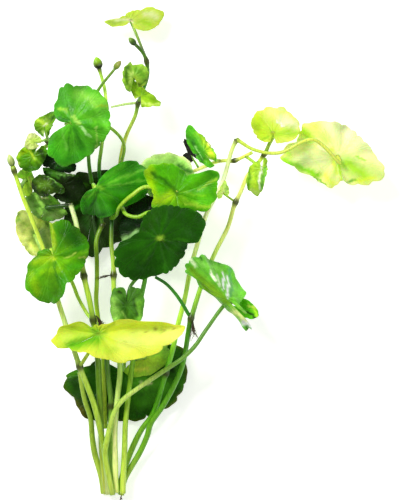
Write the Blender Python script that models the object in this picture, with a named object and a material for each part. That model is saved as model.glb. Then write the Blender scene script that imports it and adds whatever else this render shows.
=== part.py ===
"""A bunch of cut Brazilian pennywort stems (Hydrocotyle leucocephala), lying on a flat surface as picked.

The object stands on z = 0 with +Y running from the cut ends to the youngest leaves and +X to the right.
All sizes below are in millimetres and become metres when a mesh is made. Each stem is one solid, and so
is each leaf with its stalk. A leaf blade is a kidney-shaped disc that is cut to its stalk at the back,
and is then folded, bent and turned into place. Stalks and side stems end a small gap away from the
stem that carries them.
"""

import math

import bpy
import numpy as np

# Driving dimensions, in millimetres
STEM_RADIUS = 1.25  # of a stem at its cut end
STALK_RADIUS = 0.75  # of a leaf stalk
NODE_SWELLING = 0.45  # how far a stem's knot stands proud
NODE_LENGTH = 2.6  # along the stem
BLADE_THICKNESS = 0.7  # in the middle; the margin is sharp
GAP = 0.3  # between pieces that meet in the real plant
CENTRE = (0.35, -1.85, 0.15)  # middle of the whole bunch's footprint and the surface's height, as drawn below
TO_METRES = 0.001

# How finely the solids are cut
STEM_SIDES = 6
RING_SPACING = 16.0  # along a stem
STALK_SIDES = 6
STALK_STEPS = 6
BLADE_ANGLES = 17  # margin points, three between two sides of the stalk
SLOPE_PARTS = 16  # steps when a fold's slope is summed
TUFT_PLACES = (0.12, 0.42, 0.78)  # of a bud's rings along it
TUFT_WIDTHS = (0.75, 1.0, 0.7)

GREENS = {
    "dark": (0.02, 0.10, 0.01),
    "deep": (0.03, 0.16, 0.02),
    "mid": (0.08, 0.32, 0.03),
    "bright": (0.28, 0.62, 0.03),
    "yellow": (0.80, 0.82, 0.05),
    "pale": (0.72, 0.82, 0.30),
    "stem": (0.25, 0.48, 0.08),
    "light_stem": (0.60, 0.75, 0.25),
    "brown": (0.05, 0.03, 0.015),
}


def direction(degrees):
    """The flat unit vector at this angle from +X."""
    angle = math.radians(degrees)
    return np.array([math.cos(angle), math.sin(angle), 0.0])


def unit(vector):
    return vector / np.linalg.norm(vector)


def smooth_route(points, spacing=1.0):
    """Points a millimetre or so apart on a Catmull-Rom curve through the given ones."""
    points = np.array(points, float)
    ends = np.concatenate([[2 * points[0] - points[1]], points, [2 * points[-1] - points[-2]]])
    route = [points[:1]]
    for a, b, c, d in zip(ends[:-3], ends[1:-2], ends[2:-1], ends[3:]):
        steps = max(2, int(np.linalg.norm(c - b) / spacing))
        t = np.linspace(0, 1, steps + 1)[1:, None]
        route.append(
            b
            + 0.5 * t * (c - a)
            + t**2 * (a - 2.5 * b + 2 * c - 0.5 * d)
            + t**3 * (1.5 * b - 0.5 * a - 1.5 * c + 0.5 * d)
        )
    return np.concatenate(route)


def lengths_along(route):
    steps = np.linalg.norm(np.diff(route, axis=0), axis=1)
    return np.concatenate([[0.0], np.cumsum(steps)])


def at_lengths(route, lengths):
    along = lengths_along(route)
    return np.stack([np.interp(lengths, along, route[:, k]) for k in range(3)], axis=1)


def rings_along(points, radii, sides, first_side):
    """Rings of points round a path. Each ring's first point is turned as little as it can be from the last's."""
    tangents = np.gradient(points, axis=0)
    side = first_side
    rings = []
    for point, tangent, radius in zip(points, tangents, radii):
        tangent = unit(tangent)
        side = unit(side - tangent * np.dot(side, tangent))
        other = np.cross(tangent, side)
        angles = 2 * math.pi * np.arange(sides) / sides
        rings.append(point + radius * (np.cos(angles)[:, None] * side + np.sin(angles)[:, None] * other))
    return rings


def ring_faces(start, rings, sides):
    """Triangles between rings whose points are numbered from start on."""
    faces = []
    for ring in range(rings - 1):
        for k in range(sides):
            a = start + ring * sides + k
            b = start + ring * sides + (k + 1) % sides
            faces += [(a, b, b + sides), (a, b + sides, a + sides)]
    return faces


def add_solid(name, points, faces, colour, roughness=0.45):
    """One object of the given triangles, in metres, with its own material."""
    mesh = bpy.data.meshes.new(name)
    mesh.from_pydata([tuple(p) for p in (np.array(points) - CENTRE) * TO_METRES], [], faces)
    mesh.shade_smooth()
    mesh.set_sharp_from_angle(angle=math.radians(40))
    material = bpy.data.materials.new(name)
    material.use_nodes = True
    shader = material.node_tree.nodes["Principled BSDF"]
    shader.inputs["Base Color"].default_value = (*GREENS[colour], 1.0)
    shader.inputs["Roughness"].default_value = roughness
    shader.inputs["Metallic"].default_value = 0.0
    mesh.materials.append(material)
    bpy.context.collection.objects.link(bpy.data.objects.new(name, mesh))


class Stem:
    """A stem's centre line from its cut end to its tip, its radius along it, and the knots on it."""

    def __init__(self, points, tip_radius, knots=(), base_radius=STEM_RADIUS):
        self.route = smooth_route(points)
        self.length = lengths_along(self.route)[-1]
        self.base_radius = base_radius
        self.tip_radius = tip_radius
        self.knots = [self.nearest_length(np.array(knot)) for knot in knots]

    def nearest_length(self, place):
        """How far along the stem the point nearest to this place in the flat picture lies."""
        apart = np.linalg.norm(self.route[:, :2] - place[:2], axis=1)
        return lengths_along(self.route)[apart.argmin()]

    def point_at(self, place):
        return at_lengths(self.route, [self.nearest_length(np.array(place, float))])[0]

    def radius(self, lengths):
        radii = self.base_radius + (self.tip_radius - self.base_radius) * lengths / self.length
        for knot in self.knots:
            radii = radii + NODE_SWELLING * np.exp(-(((lengths - knot) / (NODE_LENGTH / 2)) ** 2))
        return radii

    def clearance(self, points):
        """How far points are from this stem's skin."""
        apart = np.linalg.norm(points[:, None] - self.route[None], axis=2)
        nearest = apart.argmin(axis=1)
        return apart.min(axis=1) - self.radius(lengths_along(self.route)[nearest])


def cut_back(route, radius, carrier):
    """The route without the end that would run into the stem that carries it."""
    clear = carrier.clearance(route) > radius + GAP
    return route[: np.nonzero(clear)[0][-1] + 1]


def add_stem(name, stem, colour):
    """A round stem with flat ends, and with rings at and beside each knot."""
    lengths = np.linspace(0, stem.length, max(4, int(stem.length / RING_SPACING) + 1))
    for knot in stem.knots:
        lengths = lengths[abs(lengths - knot) > 0.8 * NODE_LENGTH]
        lengths = np.concatenate([lengths, knot + NODE_LENGTH * np.array([-0.8, 0.0, 0.8])])
    lengths = np.sort(lengths[(lengths >= 0) & (lengths <= stem.length)])
    points = at_lengths(stem.route, lengths)
    rings = rings_along(points, stem.radius(lengths), STEM_SIDES, np.array([0.0, 0.0, 1.0]))
    last = (len(rings) - 1) * STEM_SIDES
    faces = ring_faces(0, len(rings), STEM_SIDES)
    faces += [(0, k + 1, k) for k in range(1, STEM_SIDES - 1)]
    faces += [(last, last + k, last + k + 1) for k in range(1, STEM_SIDES - 1)]
    add_solid(name, np.concatenate(rings), faces, colour, 0.35)


def measured(leaf):
    """A leaf whose margin is drawn as seen from above, with the sizes that follow from the drawing.

    The margin's points run anticlockwise from one side of the cut behind the stalk to the other. A leaf
    with a spread gives them as it would lie flat instead: angles from its tip and distances.
    """
    if "spread" in leaf:
        angles, reaches = np.array(leaf["spread"], float).T
        return dict(leaf, cut=180 - angles[-1], radius=reaches.max(), angles=np.radians(angles), reaches=reaches)
    if "margin" not in leaf:
        return leaf
    apart = np.array(leaf["margin"], float) - leaf["at"][:2]
    angles = np.unwrap(np.arctan2(apart[:, 1], apart[:, 0]))
    heading = (angles[0] + angles[-1]) / 2
    turns, reaches = angles - heading, np.linalg.norm(apart, axis=1)
    if leaf.get("underside_up", False):
        turns, reaches = -turns[::-1], reaches[::-1]
    return dict(
        leaf,
        heading=math.degrees(heading),
        cut=180 - math.degrees(turns[-1]),
        radius=reaches.max(),
        angles=turns,
        reaches=reaches,
    )


def outline(theta, leaf):
    """The margin's distance from the stalk, as a share of the leaf's radius.

    theta is 0 at the tip. A given margin is followed. Otherwise it is a kidney shape: widest a little
    behind the stalk, flatter at the tip, and with round corners beside the cut. A dent takes depth away
    over a width in degrees.
    """
    if "reaches" in leaf:
        return np.interp(theta, leaf["angles"], leaf["reaches"]) / leaf["radius"]
    reach = 0.86 + 0.14 * np.sin(0.9 * theta) ** 2
    corner = (math.pi - abs(theta)) / math.radians(leaf.get("corner", 20))
    reach = reach * (1 - 0.42 * np.exp(-(corner**2)))
    for at, depth, width in leaf.get("dents", ()):
        away = (np.degrees(theta) - at + 180) % 360 - 180
        reach = reach * (1 - depth * np.exp(-((away / width) ** 2)))
    return reach


def pair(value):
    return value if isinstance(value, tuple) else (value, value)


def rippled(p, q, height, leaf, reach=None):
    """Points of a blade with the cup and the wave of its margin added to their height."""
    size = leaf["radius"]
    reach = np.hypot(p, q) / size if reach is None else reach
    waves, depth, phase = leaf.get("wave", (3, 0.0, 0.0))
    height = height + leaf.get("cup", 0.0) * size * reach**2
    height = height + depth * size * reach**3 * np.sin(waves * np.arctan2(q, p) + math.radians(phase))
    return np.stack([p, q, height], axis=-1)


def shape_blade(p, q, leaf):
    """The flat blade's points, p towards the tip and q to the left, after its folds and bends.

    Each side is first made as wide as its aspect says. Across the crease the surface then rises by the
    left or right fold angle, which changes smoothly from the back of the leaf to its front, and the crease
    is as wide as crease_width. Along the crease the blade bends on an arc. Lengths along the surface are
    kept, but a blade with a drawn margin only rises and sinks under that drawing, and its tilt is such a
    slope too. A cup and a wave of the margin are added to the height.
    """
    size = leaf["radius"]
    left_aspect, right_aspect = pair(leaf.get("aspect", 1.0))
    q = q * np.where(q > 0, left_aspect, right_aspect)
    crease = math.radians(leaf.get("crease", 0.0))
    along = p * math.cos(crease) + q * math.sin(crease)
    across = q * math.cos(crease) - p * math.sin(crease)
    left, right = (pair(side) for side in leaf.get("fold", (0.0, 0.0)))
    to_front = 0.5 + 0.5 * np.tanh(3 * along / size)
    left = left[0] + (left[1] - left[0]) * to_front
    right = right[0] + (right[1] - right[0]) * to_front
    angle = np.radians(np.where(across > 0, left, right))
    width = leaf.get("crease_width", 0.15) * size
    if "margin" in leaf:
        lean = math.radians(leaf.get("lean", 0.0) - leaf["heading"])
        height = np.tan(angle) * (np.hypot(across, width) - width)
        height = height + math.tan(math.radians(leaf.get("bend", 0.0))) * along**2 / (2 * size)
        height = height - math.tan(math.radians(leaf.get("tilt", 0.0))) * (p * math.cos(lean) + q * math.sin(lean))
        return rippled(p, q, height, leaf)
    parts = (np.arange(SLOPE_PARTS) + 0.5) / SLOPE_PARTS
    slope = angle[..., None] * np.tanh(across[..., None] * parts / width)
    flat = across * np.cos(slope).mean(axis=-1)
    height = across * np.sin(slope).mean(axis=-1)
    bend = math.radians(leaf.get("bend", 0.0)) / size
    slope = bend * along[..., None] * parts
    forward = along * np.cos(slope).mean(axis=-1) - height * np.sin(bend * along)
    height = along * np.sin(slope).mean(axis=-1) + height * np.cos(bend * along)
    return rippled(
        forward * math.cos(crease) - flat * math.sin(crease),
        forward * math.sin(crease) + flat * math.cos(crease),
        height,
        leaf,
        np.hypot(p, q) / size,
    )


def leaf_axes(leaf):
    """Columns: the blade's tip direction, its left and its upper side, in the object's own frame.

    The blade's upper side faces up and leans over by tilt towards lean. A leaf that shows its underside
    is turned over about its own tip direction. A drawn blade stays level and has its slope in its height.
    """
    lean = direction(leaf.get("lean", 0.0))
    tilt = 0.0 if "margin" in leaf else math.radians(leaf.get("tilt", 0.0))
    normal = lean * math.sin(tilt) + np.array([0.0, 0.0, math.cos(tilt)])
    level = np.cross([0.0, 0.0, 1.0], lean)
    downhill = np.cross(level, normal)
    heading = direction(leaf["heading"])
    tip = np.dot(heading, lean) * downhill + np.dot(heading, level) * level
    if leaf.get("underside_up", False):
        normal = -normal
    return np.stack([tip, np.cross(normal, tip), normal], axis=1)


def add_leaf(name, leaf, stems, colour):
    """A leaf blade and its stalk as one solid.

    The upper sheet is a fan at the stalk and two bands of triangles. The lower sheet has the same
    bands, and its inner ring runs on into the stalk. The sheets share the points of the margin and of
    the two sides of the cut behind the stalk.
    """
    size = leaf["radius"]
    opening = math.radians(180 - leaf.get("cut", 10.0))
    theta = np.linspace(-opening, opening, BLADE_ANGLES)
    margin = outline(theta, leaf) * size
    axes = leaf_axes(leaf)
    place = np.array(leaf["at"], float)
    stalk = leaf.get("stalk_radius", STALK_RADIUS)

    def on_blade(reach, angles):
        """Points of the middle sheet and the way its upper side faces."""
        p, q = reach * np.cos(angles), reach * np.sin(angles)
        step = 0.01 * size
        middle = shape_blade(p, q, leaf)
        ahead = shape_blade(p + step, q, leaf) - shape_blade(p - step, q, leaf)
        aside = shape_blade(p, q + step, leaf) - shape_blade(p, q - step, leaf)
        facing = np.cross(ahead, aside)
        facing = facing / np.linalg.norm(facing, axis=1, keepdims=True)
        return middle @ axes.T + place, facing @ axes.T

    inner_angles = np.append(theta, math.pi)
    inner, inner_up = on_blade(np.full(BLADE_ANGLES + 1, 1.5 * stalk), inner_angles)
    middle, middle_up = on_blade(0.6 * margin, theta)
    outer, _ = on_blade(margin, theta)
    half = BLADE_THICKNESS / 2
    half_there = np.full((BLADE_ANGLES, 1), 0.8 * half)
    half_there[[0, -1]] = 0.0
    centre = place + half * axes[:, 2]
    top_inner = inner + half * inner_up
    low_inner = inner - half * inner_up
    top_middle = middle + half_there * middle_up
    low_middle = middle - half_there * middle_up
    count = BLADE_ANGLES
    points = [centre[None], top_inner, top_middle, outer, low_inner, low_middle]
    starts = np.cumsum([0] + [len(p) for p in points])
    c, ti, tm, om, li, lm = starts[:6]
    # The sheets meet at the two sides of the cut, so the lower sheet uses the upper one's points there
    low = [lm + k for k in range(count)]
    low[0], low[-1] = tm, tm + count - 1
    faces = [(c, ti + k, ti + (k + 1) % (count + 1)) for k in range(count + 1)]
    for k in range(count - 1):
        faces += [(ti + k, tm + k, tm + k + 1), (ti + k, tm + k + 1, ti + k + 1)]
        faces += [(tm + k, om + k, om + k + 1), (tm + k, om + k + 1, tm + k + 1)]
        faces += [(li + k, low[k + 1], low[k]), (li + k, li + k + 1, low[k + 1])]
        faces += [(low[k], om + k + 1, om + k), (low[k], low[k + 1], om + k + 1)]
    # Walls at the cut: one triangle at each side and two strips round the back of the stalk
    faces += [(ti, li, tm), (ti + count - 1, tm + count - 1, li + count - 1)]
    for a, b in ((count - 1, count), (count, 0)):
        faces += [(ti + a, li + b, ti + b), (ti + a, li + a, li + b)]
    # The stalk
    down = -axes[:, 2]
    start = place + 2.0 * stalk * down
    back = leaf.get("stalk_lead", 0.6)
    lead = place + leaf.get("stalk_drop", 5.0) * unit(down - back * axes[:, 0])
    carrier = stems[leaf["on"]]
    meeting = carrier.point_at(leaf["joint"])
    route = smooth_route([start, lead, *leaf.get("via", ()), meeting])
    route = cut_back(route, stalk, carrier)
    length = lengths_along(route)[-1]
    steps = leaf.get("stalk_steps", STALK_STEPS)
    path = at_lengths(route, np.linspace(0, length, steps + 1))
    # The stalk's rings are numbered clockwise about its way down, as the blade's ring is seen from above
    first_side = axes @ np.array([math.cos(opening), -math.sin(opening), 0])
    rings = rings_along(path, np.full(steps + 1, stalk), STALK_SIDES, first_side)
    rings = [np.roll(ring[::-1], 1, axis=0) for ring in rings]
    first = starts[6]
    for k in range(BLADE_ANGLES + 1):
        this = first + ((k + 1) // 3) % STALK_SIDES
        following = first + ((k + 2) // 3) % STALK_SIDES
        faces.append((li + k, following, li + (k + 1) % (count + 1)))
        if this != following:
            faces.append((li + k, this, following))
    for ring in range(steps):
        for k in range(STALK_SIDES):
            a = first + ring * STALK_SIDES + k
            b = first + ring * STALK_SIDES + (k + 1) % STALK_SIDES
            faces += [(a, a + STALK_SIDES, b + STALK_SIDES), (a, b + STALK_SIDES, b)]
    tip = first + (steps + 1) * STALK_SIDES
    end = tip - STALK_SIDES
    faces += [(end + k, tip, end + (k + 1) % STALK_SIDES) for k in range(STALK_SIDES)]
    tip_point = path[-1] + 0.8 * stalk * unit(path[-1] - path[-2])
    points += [np.concatenate(rings), tip_point[None]]
    # The lower sheet's two unused points on the cut are left out of the mesh
    used = sorted({index for face in faces for index in face})
    renumber = {old: new for new, old in enumerate(used)}
    faces = [tuple(renumber[index] for index in face) for face in faces]
    add_solid(name, np.concatenate(points)[used], faces, colour)


def add_tuft(name, start, heading, length, radius, colour):
    """A bud or a tuft of roots: an egg with a blunt end, which sets off from its start along its heading."""
    heading = unit(np.array(heading, float))
    path = np.array([np.array(start) + heading * length * share for share in TUFT_PLACES])
    widths = [radius * width for width in TUFT_WIDTHS]
    rings = rings_along(path, widths, STALK_SIDES, np.cross(heading, [0.31, 0.2, 0.93]))
    ends = [np.array(start, float), np.array(start) + heading * length]
    last = (len(rings) - 1) * STALK_SIDES
    back, front = len(rings) * STALK_SIDES, len(rings) * STALK_SIDES + 1
    faces = ring_faces(0, len(rings), STALK_SIDES)
    faces += [(back, (k + 1) % STALK_SIDES, k) for k in range(STALK_SIDES)]
    faces += [(front, last + k, last + (k + 1) % STALK_SIDES) for k in range(STALK_SIDES)]
    add_solid(name, np.concatenate([*rings, ends]), faces, colour)


def make_stems():
    """Every stem's centre line: hand-chosen points from the cut end up, in millimetres."""
    left_long = Stem(
        [
            (-34.8, -98.8, 7), (-35.4, -91.2, 6.9), (-36.5, -82, 7.6), (-38.6, -70, 12.2), (-40.6, -62, 14),
            (-43.2, -54.8, 15), (-46, -47.6, 15.8), (-49, -38.8, 16.5), (-54.8, -20.8, 17), (-58, -10, 15.5),
            (-60.8, 0, 15), (-66.4, 14.8, 17.5), (-69.2, 22, 19), (-73, 33.6, 20.5),
        ],
        tip_radius=0.75,
        knots=[(-46, -47), (-72.5, 32)],
    )
    left_short = Stem(
        [
            (-37, -98.8, 1.4), (-38, -92, 1.5), (-40.6, -82.8, 2.2), (-41.6, -76, 4), (-42.2, -68, 7),
            (-44.4, -60.8, 9.3), (-45.7, -54.4, 10.8), (-46.4, -49.2, 11.6),
        ],
        tip_radius=0.9,
    )
    thick = Stem(
        [
            (-35.6, -98.8, 4.2), (-36.6, -92, 4.2), (-37.6, -82, 4.6), (-38, -70, 8.8), (-38.6, -56, 12.3),
            (-39.2, -41.6, 16.5), (-40, -32.8, 20.5), (-42, -20.8, 22.5), (-44.4, -10.4, 21.5), (-46, 0, 19),
            (-47.6, 10.4, 15.4), (-51.6, 22.4, 9.6), (-54, 28.8, 8.4), (-57.2, 40, 11.5), (-59.6, 44.4, 15.5),
        ],
        tip_radius=0.9,
        knots=[(-40.2, -27.5), (-44.4, -10.8), (-59.2, 43.6)],
    )
    short_middle = Stem(
        [
            (-33.8, -98.8, 1.4), (-34.2, -91.2, 1.5), (-34.3, -82, 2.5), (-34, -70, 6.8), (-33.8, -62, 8.5),
            (-34.5, -54.8, 10), (-35.4, -44.8, 11.6), (-34.8, -38.4, 12),
        ],
        tip_radius=0.95,
        knots=[(-34.2, -62.5)],
    )
    curved_shoot = Stem(
        [
            (-33.2, -98.8, 9.4), (-34.6, -92, 9.7), (-36.2, -82.4, 10.6), (-34.8, -73.6, 13.2),
            (-32.6, -65.6, 15.2), (-29.2, -60.4, 16.2), (-23.2, -55.6, 18.6), (-12, -48, 20.8),
            (-5.2, -43.4, 21.2), (0, -38.4, 21), (4.4, -32, 20.5), (11.1, -22.8, 18.5), (14.8, -20.4, 18),
        ],
        tip_radius=0.8,
        knots=[(14.2, -20.6)],
    )
    pale_front = Stem(
        [
            (-31.8, -98, 7), (-32.2, -91.2, 7.2), (-32.3, -82, 8.2), (-32.3, -72, 10.8), (-31.2, -59.2, 12.6),
            (-30.2, -50.4, 13.6), (-30.4, -42.8, 14.4), (-31.6, -30, 14.6), (-32.6, -16.8, 14.5),
            (-32.8, -6, 14), (-33.7, 3.2, 12.5), (-33.6, 13.6, 10.5), (-34.4, 20.8, 9), (-38, 26.4, 8.5),
            (-38.6, 34, 10.5), (-37.6, 41.6, 12.5), (-36, 54, 15), (-36, 63.2, 17), (-38.4, 72.8, 19),
        ],
        tip_radius=0.65,
        knots=[(-32.8, -9.6), (-38.2, 72.4)],
    )
    middle_top = Stem(
        [(-41.6, 26.8, 11.5), (-42.8, 37.6, 14), (-42, 54, 17), (-39.2, 63.2, 19.5), (-32, 72.4, 22.5)],
        tip_radius=0.6,
        base_radius=0.9,
    )
    green_tall = Stem(
        [
            (-29.2, -98.4, 7), (-29, -91.2, 7), (-28.5, -82, 8), (-28.1, -70.8, 10.8), (-27.2, -62, 12.2),
            (-25.2, -46, 14), (-23.6, -32.8, 14.8), (-22, -21.2, 15), (-20, -11.2, 14.5), (-19.6, -4.8, 13.5),
            (-20.8, 4, 12), (-24, 14, 10.5), (-27.6, 24, 9.5), (-30.2, 33, 9.8), (-28.2, 44.4, 13),
            (-24.1, 53.6, 15.5), (-22.8, 58.8, 17), (-20.8, 64, 16.5), (-19, 70, 16.5), (-19.4, 75.6, 17),
            (-21, 79.2, 17.5), (-24, 82.4, 18),
        ],
        tip_radius=0.7,
        knots=[(-21.8, -23.2), (-22.8, 58.8), (-19.4, 76)],
    )
    right_green = Stem(
        [
            (-30, -99.2, 4.2), (-28.2, -92, 4.2), (-22.4, -82, 4.6), (-19.4, -75.2, 7), (-17.7, -69.6, 9.3),
            (-13, -62.8, 11), (-8.2, -54, 12.3), (-4.7, -45, 13.7), (-2.2, -30, 15.8), (-0.7, -24.6, 16),
            (2.8, -13.6, 15.5), (8, -1.2, 14), (13.2, 9.2, 12.5), (15.8, 18, 12), (18.3, 23.2, 12.5),
            (21.2, 30, 13.5), (25.2, 34.8, 15), (28.4, 39.2, 16.5),
        ],
        tip_radius=0.75,
        knots=[(-1.6, -27.2), (16.2, 19.6), (28, 38.4)],
    )
    pale_long = Stem(
        [
            (-30.6, -98.8, 1.4), (-29.6, -92, 1.5), (-26.2, -82, 2.4), (-22, -73.2, 4.8), (-17.6, -67.2, 6.4),
            (-15.4, -62, 8), (-12.4, -51.6, 10.2), (-8.8, -39.2, 11.2), (-6.8, -29.8, 11.4),
            (-4.2, -19.8, 11.4), (-2, -8.4, 11), (0.6, 1.2, 10.5), (4.4, 14, 10), (11, 27.2, 11),
            (14.6, 39.6, 13), (16.8, 44.4, 14),
        ],
        tip_radius=0.8,
        knots=[(-11.8, -49.6), (16.6, 44)],
    )
    right_light = Stem(
        [(-1.2, 31.6, 6), (3.6, 33.6, 7.5), (8.8, 35.6, 9), (12.6, 36.1, 9.5), (16, 36, 10.5), (23, 39.2, 13)],
        tip_radius=0.75,
        base_radius=0.75,
        knots=[(16, 36)],
    )
    behind_left = Stem(
        [
            (-36.4, -72, 3.5), (-36.6, -62, 7.3), (-36.8, -52, 9), (-37.2, -38, 11.5), (-39, -27.2, 13.5),
            (-39.7, -20, 14.5), (-39.4, -12.8, 15), (-39.4, -4.8, 15), (-39.6, 4, 14), (-36.8, 11.2, 13),
        ],
        tip_radius=0.85,
        base_radius=1.1,
        knots=[(-37.4, 10.2)],
    )
    side_shoot = Stem(
        [(-3.2, -24.8, 16.2), (-5.4, -21, 16.6), (-8.6, -16.6, 17.2), (-12, -13.2, 17.8), (-16, -10.8, 18)],
        tip_radius=0.7,
        base_radius=0.8,
    )
    runner = Stem([(-24.7, 58.9, 17.2), (-28, 58.4, 18), (-33.6, 57.2, 19.5)], tip_radius=0.45, base_radius=0.55)
    return {
        "left_long": left_long,
        "left_short": left_short,
        "thick": thick,
        "short_middle": short_middle,
        "curved_shoot": curved_shoot,
        "pale_front": pale_front,
        "middle_top": middle_top,
        "green_tall": green_tall,
        "right_green": right_green,
        "pale_long": pale_long,
        "right_light": right_light,
        "behind_left": behind_left,
        "runner": runner,
        "side_shoot": side_shoot,
    }


STEM_COLOURS = {
    "left_long": "stem",
    "left_short": "stem",
    "thick": "stem",
    "short_middle": "light_stem",
    "curved_shoot": "light_stem",
    "pale_front": "light_stem",
    "middle_top": "stem",
    "green_tall": "stem",
    "right_green": "stem",
    "pale_long": "light_stem",
    "right_light": "light_stem",
    "behind_left": "light_stem",
    "runner": "light_stem",
    "side_shoot": "stem",
}

# Each closed bud grows on the end of a stem: its length, its largest radius and its colour
BUDS = {
    "pale_front": (4.4, 1.9, "mid"),
    "middle_top": (3.8, 1.3, "brown"),
    "left_long": (4.6, 1.5, "pale"),
    "green_tall": (3.4, 1.3, "mid"),
}

# Each root tuft: where it starts beside a knot, which way it goes, its length and its largest radius
ROOTS = {
    "roots_thick": ((-38.3, -27.9, 20.9), (0.75, -0.55, -0.2), 6.5, 1.6),
    "roots_right": ((-0.4, -29.0, 16.8), (0.35, -0.9, 0.1), 7.5, 1.3),
    "roots_middle": ((-34.3, -10.2, 16.1), (-0.9, -0.3, 0.3), 6.5, 0.5),
    "roots_base": ((-29.6, -99.6, 4.2), (0.2, -1.0, 0.0), 2.0, 1.0),
}

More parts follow.
